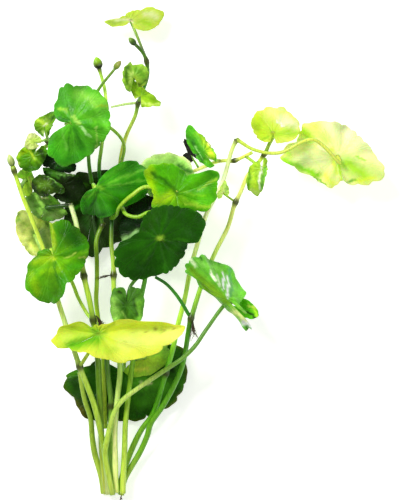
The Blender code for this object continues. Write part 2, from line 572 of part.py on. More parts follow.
# Each leaf: where its blade meets its stalk, the blade's radius, where it points and how it is bent, the
# stem it grows on, and the place on that stem in the flat picture. Angles are in degrees.
LEAVES = {
    "leaf_big_yellow": dict(
        at=(-38.4, -33.4, 24.5), heading=27, crease=-22, fold=((45, 81), (52, 52)), crease_width=0.1,
        on="left_long", joint=(-46, -47), via=[(-41, -38.5, 21.6), (-44.4, -44, 18.8)], stalk_drop=2.6,
        colour="yellow",
        spread=[
            (-178.4, 14), (-137.5, 12.4), (-111.7, 12.5), (-95.8, 14.3), (-73, 20.8), (-58, 24.9),
            (-41, 28.8), (-30, 34.2), (-22, 34.9), (-8, 28), (3, 17.5), (17.6, 9.8), (47, 4.8), (69, 4),
            (103, 5.6), (123, 10.8), (144, 15.6), (161, 19.4), (172.8, 17.4), (178.4, 12.2),
        ],
    ),
    "leaf_big_back": dict(
        at=(-28.4, -49.6, 5.6), tilt=5, lean=-90, cup=-0.04, colour="dark", on="short_middle",
        joint=(-34.9, -40), via=[(-28.8, -44.6, 2.4), (-30.8, -40.6, 6)], stalk_drop=3.2, stalk_lead=0.5,
        margin=[
            (-38, -44), (-42.8, -46.4), (-48, -48.4), (-53.2, -50.8), (-53.2, -55.2), (-48.8, -61.2),
            (-44.4, -68), (-38, -70), (-32, -69.2), (-26, -69.6), (-19.2, -68.4), (-14, -66), (-7.2, -60.8),
            (-4, -54), (-2.8, -46.8), (-4.4, -40), (-9.2, -37.6), (-16, -38), (-22, -40),
        ],
    ),
    "leaf_olive_under": dict(
        at=(-20.5, -43.2, 9.6), radius=12.5, heading=20, tilt=6, lean=20, aspect=0.6, underside_up=True,
        on="green_tall", joint=(-25, -44), stalk_drop=2.2, stalk_lead=0, colour="mid", stalk_steps=3,
    ),
    "leaf_dark_front": dict(
        at=(-14, 4.8, 34), tilt=25, lean=-63, cup=-0.06, colour="dark", on="pale_front", joint=(-34.2, 19),
        via=[
            (-14.8, 10, 27.5), (-17.6, 15, 24), (-22.8, 13.2, 22.6), (-27.4, 14.2, 21), (-29.6, 17.4, 18),
            (-32.4, 18.6, 13.4),
        ],
        stalk_drop=4, stalk_lead=0, stalk_radius=0.9, stalk_steps=12,
        margin=[
            (1.2, 2.8), (2.8, 5.6), (4.4, 10.4), (3.6, 13.6), (-0.4, 16), (-5.2, 16.8), (-10, 18),
            (-14.8, 17.2), (-19.2, 14.8), (-20.8, 11.6), (-22, 7.2), (-25.6, 4.4), (-30, 2.8), (-32, -0.4),
            (-31.6, -6.8), (-28.4, -11.2), (-23.6, -12.4), (-18.8, -11.2), (-14, -9.6), (-7.6, -6.8),
            (-4, -2.8), (-1.6, 0.6), (-0.6, 2),
        ],
    ),
    "leaf_bright_front": dict(
        at=(-7.6, 22.4, 29.5), fold=(30, 22), crease=47, crease_width=0.2, tilt=12, lean=60, colour="bright",
        on="pale_front", joint=(-33.6, 12.5), stalk_radius=0.9, stalk_steps=9, stalk_drop=3.5,
        via=[(-18.6, 25.2, 26.6), (-25.4, 21.6, 26), (-30, 17.4, 22.4), (-31.6, 14, 16.5)],
        margin=[
            (-6.6, 14.6), (-3, 15), (0.4, 15.4), (4.4, 15.2), (6.8, 16.8), (8.8, 21.6), (8.8, 25.2), (10.4, 28.8),
            (9.2, 31.2), (6, 32), (1.2, 30.4), (-3.2, 29.6), (-6.4, 32.8), (-10, 34.8), (-14, 34.4),
            (-18.8, 33.6), (-20.4, 31.6), (-19.6, 28), (-17.6, 24.4), (-16.4, 20.4), (-17.2, 16.8),
            (-12.8, 15.8), (-9.8, 15), (-7.8, 14.6),
        ],
    ),
    "leaf_big_middle": dict(
        at=(-39.6, 24.8, 27), fold=(-28, -50), crease=42, crease_width=0.15, tilt=10, lean=0, colour="deep",
        on="behind_left", joint=(-37.4, 10.2), stalk_lead=0.3, via=[(-38, 17, 17)],
        margin=[
            (-42.8, 23.4), (-44.8, 21.2), (-46, 17.2), (-44.8, 14.4), (-41.2, 12.8), (-37.2, 12.8),
            (-32.8, 15.2), (-29.2, 17.6), (-24.8, 18.8), (-20, 20.8), (-17.2, 24.8), (-17.2, 30),
            (-19.6, 34.4), (-22.8, 36.4), (-27.6, 35.6), (-32, 33.6), (-35.6, 30.8), (-38, 28.4),
        ],
    ),
    "leaf_behind_middle": dict(
        at=(-11.6, 30, 17), radius=11.5, heading=90, tilt=15, lean=90, on="green_tall",
        joint=(-25.4, 18), via=[(-13.5, 17.5, 15), (-20, 14.2, 15), (-24.6, 14, 14.5)], cup=-0.1, colour="mid",
    ),
    "leaf_dark_inner": dict(
        at=(-19, 9, 16.8), radius=13.5, heading=160, tilt=12, lean=200, on="green_tall",
        joint=(-19.7, -4), via=[(-16.5, 3, 12.8)], cup=-0.08, stalk_drop=3.4, colour="dark",
    ),
    "leaf_dark_left_inner": dict(
        at=(-55.2, 36.4, 16.4), on="thick", joint=(-56, 36), stalk_drop=1.2, stalk_lead=0,
        colour="dark", stalk_steps=2, stalk_radius=0.6,
        margin=[
            (-58, 40.4), (-59.2, 38.8), (-60.4, 36.8), (-61.8, 34.8), (-60.8, 33.6), (-58.4, 33),
            (-55.6, 32), (-52.8, 31.2), (-50, 30.8), (-48, 31.8), (-47.4, 34), (-48.8, 36.8),
            (-51.6, 38.8), (-54.4, 40.4),
        ],
    ),
    "leaf_left_low": dict(
        at=(-56.4, -2.4, 27), fold=(-16, -36), crease_width=0.25, tilt=8, lean=110, colour="mid",
        on="thick", joint=(-40.2, -27.5), via=[(-50, -11.6, 17), (-46.8, -19.2, 17), (-43.2, -25.6, 18)],
        margin=[
            (-57.6, 0), (-60, 0.4), (-63.6, -2.4), (-66.8, -6.4), (-67.6, -10.4), (-66.4, -16), (-63.6, -19.6),
            (-58.8, -22), (-54, -20.4), (-52, -17.2), (-51.2, -14.4), (-47.2, -10.4), (-43.6, -4.8),
            (-42, 1.2), (-44.4, 6.8), (-48.8, 10.8), (-53.2, 12.4), (-56.8, 10.8), (-58.2, 11.2),
        ],
    ),
    "leaf_upper_left": dict(
        at=(-48.6, 50.6, 33), fold=(-30, -14), crease_width=0.35, bend=-35, tilt=18, lean=198, colour="mid",
        on="green_tall", joint=(-30.2, 33), via=[(-40, 51, 24), (-33.2, 48.4, 19), (-28.4, 42, 18.6)],
        margin=[
            (-53.2, 48.4), (-56, 46.8), (-58, 44.8), (-58.4, 41.6), (-57.6, 38), (-55.6, 34.8), (-52.8, 32.8),
            (-48.8, 33.6), (-43.2, 36.8), (-38, 40.8), (-34.8, 44.8), (-33.6, 49.2), (-33.6, 55.2),
            (-35.2, 59.6), (-38, 62.4), (-42, 64.8), (-46, 66), (-51.2, 66.4), (-54, 64.4), (-55.2, 60),
            (-56, 55.6), (-54.8, 52), (-52.4, 50.6),
        ],
    ),
    "leaf_small_hanging": dict(
        at=(-27.2, -22, 22.4), radius=12.5, heading=-90, fold=(-30, -30), aspect=0.62, tilt=14, lean=-90,
        on="green_tall", joint=(-19.8, -7.5), via=[(-25.5, -14, 20)], stalk_drop=2.5, stalk_lead=0.5,
        dents=[(150, 0.25, 25), (-150, 0.25, 25)], cut=6, colour="deep", stalk_steps=4,
    ),
    "leaf_right_folded": dict(
        at=(12.4, -19.2, 28), radius=25, heading=136, fold=(-78, (-76, -48)), crease_width=0.1, tilt=4,
        aspect=(0.32, 0.6), lean=316, on="curved_shoot", joint=(14, -21), stalk_drop=3, stalk_lead=-0.2,
        cut=8, corner=12, dents=[(150, 0.2, 22), (-140, 0.7, 40)], colour="mid", stalk_steps=4,
    ),
    "leaf_young_right": dict(
        at=(18.4, -22.6, 19.4), radius=9.2, heading=-30, aspect=0.42, fold=(40, 40), crease_width=0.3, cut=50,
        on="curved_shoot", joint=(14.6, -20.5), stalk_drop=2.6, stalk_lead=0.7, stalk_radius=0.5,
        colour="mid", stalk_steps=3,
    ),
    "leaf_left_under": dict(
        at=(-64.8, 5.6, 2.4), underside_up=True, on="left_long", joint=(-59.6, -5), via=[(-62, 0, 8)], stalk_drop=2.5,
        stalk_lead=0, colour="pale",
        margin=[
            (-59.6, -1.6), (-56.8, 1.6), (-56.4, 5.6), (-57.2, 9.6), (-60, 12.4), (-62.8, 13.6),
            (-65.2, 14.8), (-67.2, 16), (-70, 16.4), (-72, 15.2), (-72.8, 12.4), (-72.6, 8.4),
            (-71.4, 4.4), (-69.2, 1.2), (-67.2, -1.6), (-63.6, -2.8), (-61.4, -2.6),
        ],
    ),
    "leaf_dark_crumpled": dict(
        at=(-59.6, 17.2, 8.5), underside_up=True, on="thick", joint=(-50.2, 18.5), stalk_drop=1.8, stalk_lead=0,
        colour="deep", stalk_steps=4,
        margin=[
            (-62.4, 12.4), (-59.6, 11.6), (-56.4, 12), (-53.6, 13), (-51.2, 14.6), (-54, 18),
            (-56.8, 21.2), (-59.2, 22.6), (-61.8, 21.2), (-64.4, 23.6), (-66.8, 23), (-68.8, 20.8),
            (-68, 18), (-66, 15.2), (-64.2, 13.4),
        ],
    ),
    "leaf_olive_left": dict(
        at=(-59.6, 26, 17.2), tilt=6, lean=200, cup=-0.06, on="thick", joint=(-54.6, 30.4), via=[(-59.2, 28.4, 10.4)],
        stalk_drop=2, stalk_lead=0, colour="mid", stalk_steps=4, stalk_radius=0.6,
        margin=[
            (-51.8, 24.2), (-53.2, 25.8), (-55.6, 27.4), (-57.6, 28.8), (-59.6, 29.8), (-62, 30.4),
            (-64, 29.2), (-65.6, 27.6), (-65.6, 25.2), (-64.4, 23.2), (-62.4, 21.6), (-60, 21.2),
            (-58, 22.4), (-56, 22.8), (-53.6, 22.4), (-52, 23.4),
        ],
    ),
    "leaf_black_left": dict(
        at=(-52.8, 26.4, 14), cup=-0.04, on="thick", joint=(-52.6, 25), stalk_drop=1.8, stalk_lead=0.2,
        colour="dark", stalk_steps=2, stalk_radius=0.6,
        margin=[
            (-57.2, 21.6), (-54, 19.6), (-50.8, 18.8), (-47.6, 19.6), (-45.2, 21.6), (-44, 24),
            (-44.4, 26.4), (-46, 28.6), (-48.4, 30.4), (-51.2, 30.6), (-53.6, 31.4), (-56.4, 32.4),
            (-59.2, 33.2), (-61.4, 33.2), (-60.8, 30.8), (-59.2, 28.4), (-57.2, 26.2),
        ],
    ),
    "leaf_dark_under": dict(
        at=(-41.2, 15.2, 5.6), underside_up=True, on="behind_left", joint=(-39.6, 5.5), via=[(-41, 12, 9)],
        stalk_drop=2, stalk_lead=0, colour="dark", stalk_steps=4,
        margin=[
            (-44.4, -2.4), (-41.6, -3.2), (-39.2, -2), (-37.6, 0), (-34.8, 1.2), (-31.6, 2.8),
            (-28.8, 4.4), (-27.2, 8.8), (-26.4, 14.4), (-26.8, 20), (-28.4, 24.8), (-31.6, 29.6),
            (-34.8, 32.4), (-38, 32.2), (-41.6, 31.8), (-45.2, 31.6), (-48.4, 31.2), (-49.6, 27.2),
            (-50.4, 22.4), (-50.8, 17.2), (-50.4, 12), (-50, 7.6), (-48.4, 3.6), (-47.2, 0.8), (-45.4, -1.6),
        ],
    ),
    "leaf_left_mid": dict(
        at=(-68.4, 28, 12.4), underside_up=True, on="left_long", joint=(-70, 24.6), stalk_drop=1.8, stalk_lead=0,
        colour="mid", stalk_steps=3,
        margin=[
            (-71, 26.4), (-70.4, 24), (-68.8, 21.6), (-66.8, 21.6), (-65.2, 24), (-64.8, 27.2),
            (-65.2, 30.4), (-66.8, 32.4), (-69.2, 32.8), (-71, 31.4), (-71.8, 29.4),
        ],
    ),
    "leaf_left_bright": dict(
        at=(-64.8, 37.6, 19.2), tilt=6, lean=200, cup=-0.05, on="thick", joint=(-58.6, 42.4), via=[(-63, 39.6, 14.8)],
        stalk_drop=2, colour="bright", stalk_steps=4,
        margin=[
            (-63.2, 41.2), (-65.6, 41), (-67.6, 41.4), (-69.6, 40.4), (-71, 38.8), (-71.6, 36.8),
            (-71.2, 34.8), (-70, 32.8), (-67.6, 31.4), (-65.2, 31.4), (-62.8, 32.2), (-61.2, 34),
            (-60, 36.4), (-59, 39.2), (-59.8, 41.6), (-61.4, 41.8),
        ],
    ),
    "leaf_left_pale": dict(
        at=(-64.6, 43.4, 21.5), tilt=8, lean=150, on="thick", joint=(-59.8, 44.2), stalk_drop=2,
        colour="pale", stalk_steps=4, stalk_radius=0.5,
        margin=[
            (-61.6, 42.6), (-61.2, 44.2), (-62.8, 45.8), (-64.4, 46.8), (-66.2, 46.6), (-67.2, 44.8),
            (-68, 42.8), (-68.2, 41), (-66, 40.2), (-63.6, 40.6), (-62.2, 41.6),
        ],
    ),
    "leaf_left_crinkled": dict(
        at=(-59.8, 49.6, 26.5), tilt=8, lean=150, cup=0.1, on="thick", joint=(-58.9, 43.4), stalk_drop=2.8,
        colour="bright", stalk_steps=4, stalk_radius=0.6,
        margin=[
            (-59, 45), (-57.8, 47.6), (-56.4, 50.4), (-55, 53.2), (-55.2, 55), (-56.8, 55.4),
            (-58.4, 54.6), (-60, 53.8), (-61.6, 53), (-63.2, 52), (-64.2, 49.8), (-63.4, 47.6),
            (-61.8, 46.2), (-60.2, 44.8),
        ],
    ),
    "leaf_top": dict(
        at=(-26, 92.4, 8.4), tilt=25, lean=92, on="green_tall", joint=(-19.4, 77), via=[(-22.8, 84.8, 9)],
        colour="pale", stalk_drop=2.6, stalk_lead=0, stalk_radius=0.6,
        margin=[
            (-24.4, 89.2), (-22.8, 88.6), (-20, 88.4), (-17.2, 88.8), (-14.8, 90.4), (-14, 92),
            (-12.6, 94.4), (-12.8, 96.4), (-14.8, 97.8), (-17.6, 98.4), (-20, 98), (-22, 96.8),
            (-24, 97), (-26.4, 96), (-28.4, 94.8), (-30.8, 93.6), (-33.6, 93.2), (-37.6, 92),
            (-35.2, 91), (-33.6, 90.2), (-30.4, 90.2), (-27.8, 90.6),
        ],
    ),
    "leaf_small_round": dict(
        at=(-24.4, 69.2, 24), fold=(-38, -12), crease_width=0.25, on="green_tall", joint=(-19.2, 72), stalk_drop=2,
        colour="mid", stalk_steps=3, stalk_radius=0.6,
        margin=[
            (-22.4, 64.8), (-20.8, 65.2), (-19.4, 66.4), (-18.6, 68.8), (-18.6, 71.2), (-19.6, 73.2),
            (-21.2, 74.2), (-23.2, 74), (-24.8, 73.8), (-26, 75.4), (-27.4, 74.4), (-28.4, 72.4),
            (-28.8, 69.6), (-28.4, 66.4), (-27.4, 63.6), (-26, 62.6),
        ],
    ),
    "leaf_small_light": dict(
        at=(-21.6, 61.6, 20.6), cup=-0.05, on="green_tall", joint=(-22.9, 58.4), stalk_drop=2.2,
        colour="bright", stalk_steps=3, stalk_radius=0.5,
        margin=[
            (-21.6, 57.2), (-19.6, 57), (-16.8, 57.6), (-14, 57.6), (-13.2, 59), (-15.2, 60.2),
            (-16, 61.4), (-17.6, 62.6), (-19, 63.4), (-20.4, 64.6), (-22, 65.8), (-24, 67.6),
            (-26, 68.6), (-26.6, 66.8), (-26, 64.4), (-25, 62.4), (-23.8, 60.4),
        ],
    ),
    "leaf_right_top_dark": dict(
        at=(3.2, 39.2, 18.5), fold=(-25, -20), on="right_light", joint=(10.5, 35.9), via=[(6, 37, 14)], stalk_drop=2,
        colour="deep", stalk_steps=3, stalk_radius=0.6,
        margin=[
            (8.6, 35.2), (8.4, 37.2), (7.6, 39.2), (7.2, 40.8), (6, 42.6), (4.8, 44), (3.2, 46),
            (1.2, 46.8), (-0.4, 48.2), (-2, 49.8), (-3.2, 49.6), (-4, 47.6), (-3.6, 44.8), (-2.4, 41.6),
            (-0.6, 38.8), (1.6, 36.2), (4, 34.2), (6, 33), (8, 33.4),
        ],
    ),
    "leaf_withered": dict(
        at=(-1.8, 38.4, 9.5), on="right_light", joint=(1.2, 32.6), stalk_drop=1.2, stalk_lead=0, colour="brown",
        stalk_steps=3, stalk_radius=0.4,
        margin=[
            (0.8, 36.6), (0.4, 38), (-0.8, 40), (-2.2, 42.4), (-3.2, 44.8), (-4.4, 45.4), (-4.6, 43.2),
            (-3.6, 41), (-3, 39.4), (-5, 36), (-3.2, 35.4), (-0.8, 35.8),
        ],
    ),
    "leaf_right_light": dict(
        at=(31.2, 46.4, 22), fold=(14, 14), crease_width=0.2, tilt=20, lean=90, on="right_green", joint=(28.2, 38.8),
        via=[(29.6, 42.2, 18.4)], stalk_drop=2.5, colour="bright", stalk_steps=4,
        margin=[
            (32.4, 42.6), (35.2, 42.8), (38.8, 43.6), (40.8, 45.2), (42, 47.2), (42, 49.6),
            (40.8, 52.4), (38.8, 54.4), (37.2, 55.8), (35.6, 57.2), (33.6, 57.6), (31.6, 56.8),
            (30, 57.6), (28.4, 57), (26.8, 56), (24.8, 55.6), (23.2, 53.6), (22.4, 50.8), (22.8, 48.4),
            (24.4, 45.6), (26, 43.8), (27.6, 43), (30, 43.2),
        ],
    ),
    "leaf_right_pale": dict(
        at=(57.2, 37.2, 16), underside_up=True, cup=0.05, on="pale_long", joint=(16.6, 44),
        via=[(47, 44, 26), (34, 38.8, 25), (24, 40, 20)], colour="pale", stalk_steps=10,
        margin=[
            (59.6, 27.6), (62, 26.2), (66, 26), (69.6, 26), (72.4, 27.2), (74.8, 28), (76.4, 30.8),
            (76, 33.6), (74.4, 36), (72.4, 38.8), (70, 41.6), (67.6, 44.4), (65.2, 46.8), (62, 49.2),
            (58.8, 50.8), (55.2, 51.6), (51.6, 52), (47.2, 51.6), (43.2, 50.8), (42, 48), (41.6, 45.6),
            (39.6, 43.6), (37.2, 42.8), (35.2, 40.4), (34, 37.2), (35.6, 35.6), (38, 34), (40.8, 32),
            (44, 30.4), (47.2, 29.6), (49.2, 27.6), (52, 26), (54.8, 24.6), (56.4, 25.6), (58.4, 27.6),
        ],
    ),
    "leaf_right_hanging": dict(
        at=(26.8, 32.8, 19.8), fold=(-22, -22), on="right_light", joint=(20.5, 37.8), stalk_drop=1.2,
        stalk_lead=0, colour="bright", stalk_steps=3, stalk_radius=0.6,
        margin=[
            (25.6, 36), (23.6, 34.8), (22, 33.2), (21.2, 30.4), (20.8, 26.8), (21.2, 24), (22.4, 22.6),
            (24, 22), (24.8, 21.2), (25.6, 22.4), (26.8, 23.6), (27.6, 26), (28, 28.8), (28.4, 31.6),
            (29, 34), (28.8, 36.8), (27.6, 37),
        ],
    ),
    "leaf_right_tiny": dict(
        at=(11.4, 23.2, 14.8), on="right_green", joint=(16.2, 19.6), stalk_drop=1.6, stalk_lead=0.4, colour="bright",
        stalk_steps=3, stalk_radius=0.4,
        margin=[
            (13, 21.4), (13.6, 24), (12.8, 26.4), (12, 28.2), (11, 26.4), (10, 24), (9.2, 20.6),
            (10.8, 21),
        ],
    ),
}


def main():
    for leftover in list(bpy.data.objects):
        bpy.data.objects.remove(leftover)
    stems = make_stems()
    for name, stem in stems.items():
        add_stem("stem_" + name, stem, STEM_COLOURS[name])
    for name, leaf in LEAVES.items():
        add_leaf(name, measured(leaf), stems, leaf["colour"])
    for name, (length, radius, colour) in BUDS.items():
        end, before = stems[name].route[-1], stems[name].route[-3]
        add_tuft("bud_" + name, end + GAP * unit(end - before), end - before, length, radius, colour)
    for name, (start, heading, length, radius) in ROOTS.items():
        add_tuft(name, start, heading, length, radius, "brown")


main()
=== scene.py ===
"""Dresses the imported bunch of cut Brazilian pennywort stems, and lays it on a pale floor under soft light.

Every stem, leaf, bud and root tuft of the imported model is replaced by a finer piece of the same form. All
sizes in the tables are millimetres, in the drawing's own frame, and become metres around the middle of the
bunch when a mesh is made.
"""

import math

import bpy
import mathutils
import numpy as np
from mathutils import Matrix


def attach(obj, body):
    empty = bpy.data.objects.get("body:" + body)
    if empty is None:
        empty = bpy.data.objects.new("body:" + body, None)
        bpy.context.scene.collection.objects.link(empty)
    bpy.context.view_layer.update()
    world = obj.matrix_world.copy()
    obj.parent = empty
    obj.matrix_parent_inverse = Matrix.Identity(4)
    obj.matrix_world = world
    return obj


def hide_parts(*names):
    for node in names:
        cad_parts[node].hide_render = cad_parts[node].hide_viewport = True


bl_info = {
    "name": "Pennywort bunch",
    "version": (1, 0, 0),
    "blender": (4, 5, 0),
    "location": "View3D > Sidebar > Pennywort",
    "description": "Builds a bunch of cut pennywort stems with their leaves, buds and roots",
    "category": "Add Mesh",
}

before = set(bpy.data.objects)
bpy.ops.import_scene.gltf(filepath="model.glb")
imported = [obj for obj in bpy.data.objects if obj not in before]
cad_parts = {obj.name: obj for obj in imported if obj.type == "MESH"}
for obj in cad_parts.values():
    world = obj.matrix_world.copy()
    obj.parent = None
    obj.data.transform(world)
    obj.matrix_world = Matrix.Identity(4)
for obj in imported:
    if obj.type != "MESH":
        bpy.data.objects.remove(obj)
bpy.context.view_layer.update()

TO_METRES = 0.001
CENTRE = np.array([0.35, -1.85, 0.15])  # middle of the footprint, and the surface's height, in the drawing
PICTURE_MIDDLE = np.array([3.4, 0.0, 0.0])  # below the camera, in the drawing
SLOPE_PARTS = 16  # steps when a fold's slope is summed
RELIEF_PAINTED_LIGHT = 0.28  # painted highlights and shade: how much paler a blade is painted on its ridges than between them
FULL_RELIEF = 0.05  # a ridge this high, as a share of the leaf's radius, is painted palest
LEAST_RUMPLE = 0.035  # height of every blade's slow waves, as a share of its radius
LEAST_FRILL = 0.03  # height of every margin's waves, likewise
STREAK_SWAY = 0.45  # how far a streak of colour sways from its straight line
LEAST_HEIGHT = 0.3  # no blade's middle sheet lies lower above the surface
VEINS = 11  # main veins of a blade that goes all round its stalk
# For a blade whose radius is over the first number: points round it, and from its stalk to its margin
BLADE_GRIDS = ((14.0, 241, 26), (9.0, 161, 18), (0.0, 109, 13))
ROD_STEP = 0.9  # between two circles of a stem or a stalk
STEM_SIDES, STALK_SIDES, BUD_SIDES, HAIR_SIDES = 16, 10, 24, 5
KNOT_LENGTH = 2.6  # of a knot's swelling
END_ROUNDING = 0.15  # length over which a stem's cut end and tip are rounded off
STALK_TONES = ("#a9cc58", "#7fb038")  # at the blade and at the stem, where a leaf names none
NOISE_RANGE = {"From Min": 0.3, "From Max": 0.7}  # between these nearly all of a noise lies
EGG_PLACES = np.array([0.0, 0.05, 0.15, 0.3, 0.45, 0.6, 0.75, 0.88, 0.96, 1.0])
EGG_WIDTHS = np.array([0.0, 0.55, 0.8, 0.98, 1.0, 0.93, 0.75, 0.48, 0.22, 0.0])
EGG_RINGS = 21


def linear(hex_colour):
    """An sRGB hex colour as linear red, green and blue."""
    values = np.array([int(hex_colour[k : k + 2], 16) for k in (1, 3, 5)]) / 255
    return np.where(values <= 0.04045, values / 12.92, ((values + 0.055) / 1.055) ** 2.4)


def direction(degrees):
    """The flat unit vector at this angle from +X."""
    angle = math.radians(degrees)
    return np.array([math.cos(angle), math.sin(angle), 0.0])


def unit(vectors):
    """The vectors, each divided by its length."""
    return vectors / np.linalg.norm(vectors, axis=-1, keepdims=True)


def pair(value):
    """Two values as they are, or one value twice."""
    return value if isinstance(value, tuple) else (value, value)


def wobble(x, seed, turns=(1.0, 2.3, 4.1)):
    """A smooth irregular curve between about -1 and 1: three sines of x, with phases from the seed."""
    phases = seed * np.array([2.399, 3.883, 5.171])
    return sum(np.sin(turn * x + phase) / (k + 1.5) for k, (turn, phase) in enumerate(zip(turns, phases)))


def smooth_route(points, spacing=1.0):
    """Points a millimetre or so apart on a Catmull-Rom curve through the given ones."""
    points = np.array(points, float)
    ends = np.concatenate([[2 * points[0] - points[1]], points, [2 * points[-1] - points[-2]]])
    route = [points[:1]]
    for a, b, c, d in zip(ends[:-3], ends[1:-2], ends[2:-1], ends[3:]):
        steps = max(2, int(np.linalg.norm(c - b) / spacing))
        t = np.linspace(0, 1, steps + 1)[1:, None]
        bend = t**2 * (a - 2.5 * b + 2 * c - 0.5 * d) + t**3 * (1.5 * b - 0.5 * a - 1.5 * c + 0.5 * d)
        route.append(b + 0.5 * t * (c - a) + bend)
    return np.concatenate(route)


def lengths_along(route):
    """How far each point of a route lies from its start, measured along it."""
    steps = np.linalg.norm(np.diff(route, axis=0), axis=1)
    return np.concatenate([[0.0], np.cumsum(steps)])


def at_lengths(route, lengths):
    """The places that lie these lengths along a route."""
    along = lengths_along(route)
    return np.stack([np.interp(lengths, along, route[:, k]) for k in range(3)], axis=1)


def grid_faces(rows, columns, start=0, closed=False):
    """Quads of a grid whose points are numbered row by row, and which may close along its columns."""
    row = np.arange(rows - 1)[:, None]
    column = np.arange(columns if closed else columns - 1)[None]
    following = (column + 1) % columns
    a, b = row * columns + column, row * columns + following
    return start + np.stack([a, b, b + columns, a + columns], axis=-1).reshape(-1, 4)


def tube(path, radii, sides, ovalness=0.0):
    """A closed round rod: a circle of points carried along a path, and a middle point at each end.

    Each circle lies square to the path. Its first point stands towards the direction that all of the
    path's tangents are most nearly square to.
    """
    tangents = unit(np.gradient(path, axis=0))
    steady = np.linalg.svd(tangents)[2][2]
    side = unit(steady - tangents * (tangents @ steady)[:, None])
    other = np.cross(tangents, side)
    angles = 2 * math.pi * np.arange(sides) / sides
    across = radii[:, None] * (1 + ovalness * np.cos(2 * angles))[None]
    rings = (
        path[:, None]
        + (across * np.cos(angles))[..., None] * side[:, None]
        + (across * np.sin(angles))[..., None] * other[:, None]
    )
    points = np.concatenate([rings.reshape(-1, 3), path[[0, -1]]])
    count = len(path)
    k = np.arange(sides)
    first, last = count * sides, count * sides + 1
    after = (k + 1) % sides
    low = np.stack([np.full(sides, first), after, k], axis=1)
    high = np.stack([np.full(sides, last), k, after], axis=1)
    high[:, 1:] += (count - 1) * sides
    along = np.concatenate([np.repeat(np.arange(count), sides), [0, count - 1]])
    return points, [grid_faces(count, sides, closed=True), low, high], along


class Stem:
    """A stem's centre line from its cut end to its tip, its radius along it, and the knots on it."""

    def __init__(self, points, tones, tip_radius, base_radius=1.25, knots=()):
        """The stem through these points, with each knot where the centre line passes its place."""
        self.route = smooth_route(points)
        self.length = lengths_along(self.route)[-1]
        self.base_radius = base_radius
        self.tip_radius = tip_radius
        self.knots = [self.nearest_length(np.array(knot)) for knot in knots]
        self.tones = tones

    def nearest_length(self, place):
        """How far along the stem the point nearest to this place in the flat picture lies."""
        apart = np.linalg.norm(self.route[:, :2] - place[:2], axis=1)
        return lengths_along(self.route)[apart.argmin()]

    def point_at(self, place):
        """The point of the centre line nearest to this place in the flat picture."""
        return at_lengths(self.route, [self.nearest_length(np.array(place, float))])[0]

    def radius(self, lengths, swelling):
        """A straight taper from base to tip, plus a bell curve at each knot."""
        radii = self.base_radius + (self.tip_radius - self.base_radius) * lengths / self.length
        for knot in self.knots:
            radii = radii + swelling * np.exp(-(((lengths - knot) / (KNOT_LENGTH / 2)) ** 2))
        return radii


def measured(leaf):
    """A leaf whose margin is drawn as seen from above, with the sizes that follow from the drawing.

    The margin's points run anticlockwise from one side of the cut behind the stalk to the other. A leaf
    with a spread gives them as it would lie flat instead: angles from its tip and distances.
    """
    if "spread" in leaf:
        angles, reaches = np.array(leaf["spread"], float).T
        cut, turns = 180 - angles[-1], np.radians(angles)
        return dict(leaf, cut=cut, radius=reaches.max(), angles=turns, reaches=reaches)
    if "margin" not in leaf:
        return leaf
    apart = np.array(leaf["margin"], float) - leaf["at"][:2]
    angles = np.unwrap(np.arctan2(apart[:, 1], apart[:, 0]))
    heading = (angles[0] + angles[-1]) / 2
    turns, reaches = angles - heading, np.linalg.norm(apart, axis=1)
    if leaf.get("underside_up", False):
        turns, reaches = -turns[::-1], reaches[::-1]
    return dict(
        leaf,
        heading=math.degrees(heading),
        cut=180 - math.degrees(turns[-1]),
        radius=reaches.max(),
        angles=turns,
        reaches=reaches,
    )


def turn_from(theta, angle):
    """How many degrees the angles lie to one side of the given one."""
    return (np.degrees(theta) - angle + 180) % 360 - 180


def outline(theta, leaf):
    """The margin's distance from the stalk, as a share of the leaf's radius.

    theta is 0 at the tip. A given margin is followed. Otherwise it is a kidney shape: widest a little
    behind the stalk, flatter at the tip, and with round corners beside the cut. A dent takes depth away
    over a width in degrees.
    """
    if "reaches" in leaf:
        return np.interp(theta, leaf["angles"], leaf["reaches"]) / leaf["radius"]
    reach = 0.86 + 0.14 * np.sin(0.9 * theta) ** 2
    corner = (math.pi - abs(theta)) / math.radians(leaf.get("corner", 20))
    reach = reach * (1 - 0.42 * np.exp(-(corner**2)))
    for at, depth, width in leaf.get("dents", ()):
        reach = reach * (1 - depth * np.exp(-((turn_from(theta, at) / width) ** 2)))
    return reach


def cupped(p, q, height, leaf, reach):
    """Points of a blade whose height rises by its cup times the square of the reach."""
    height = height + leaf.get("cup", 0.0) * leaf["radius"] * reach**2
    return np.stack([p, q, height], axis=-1)


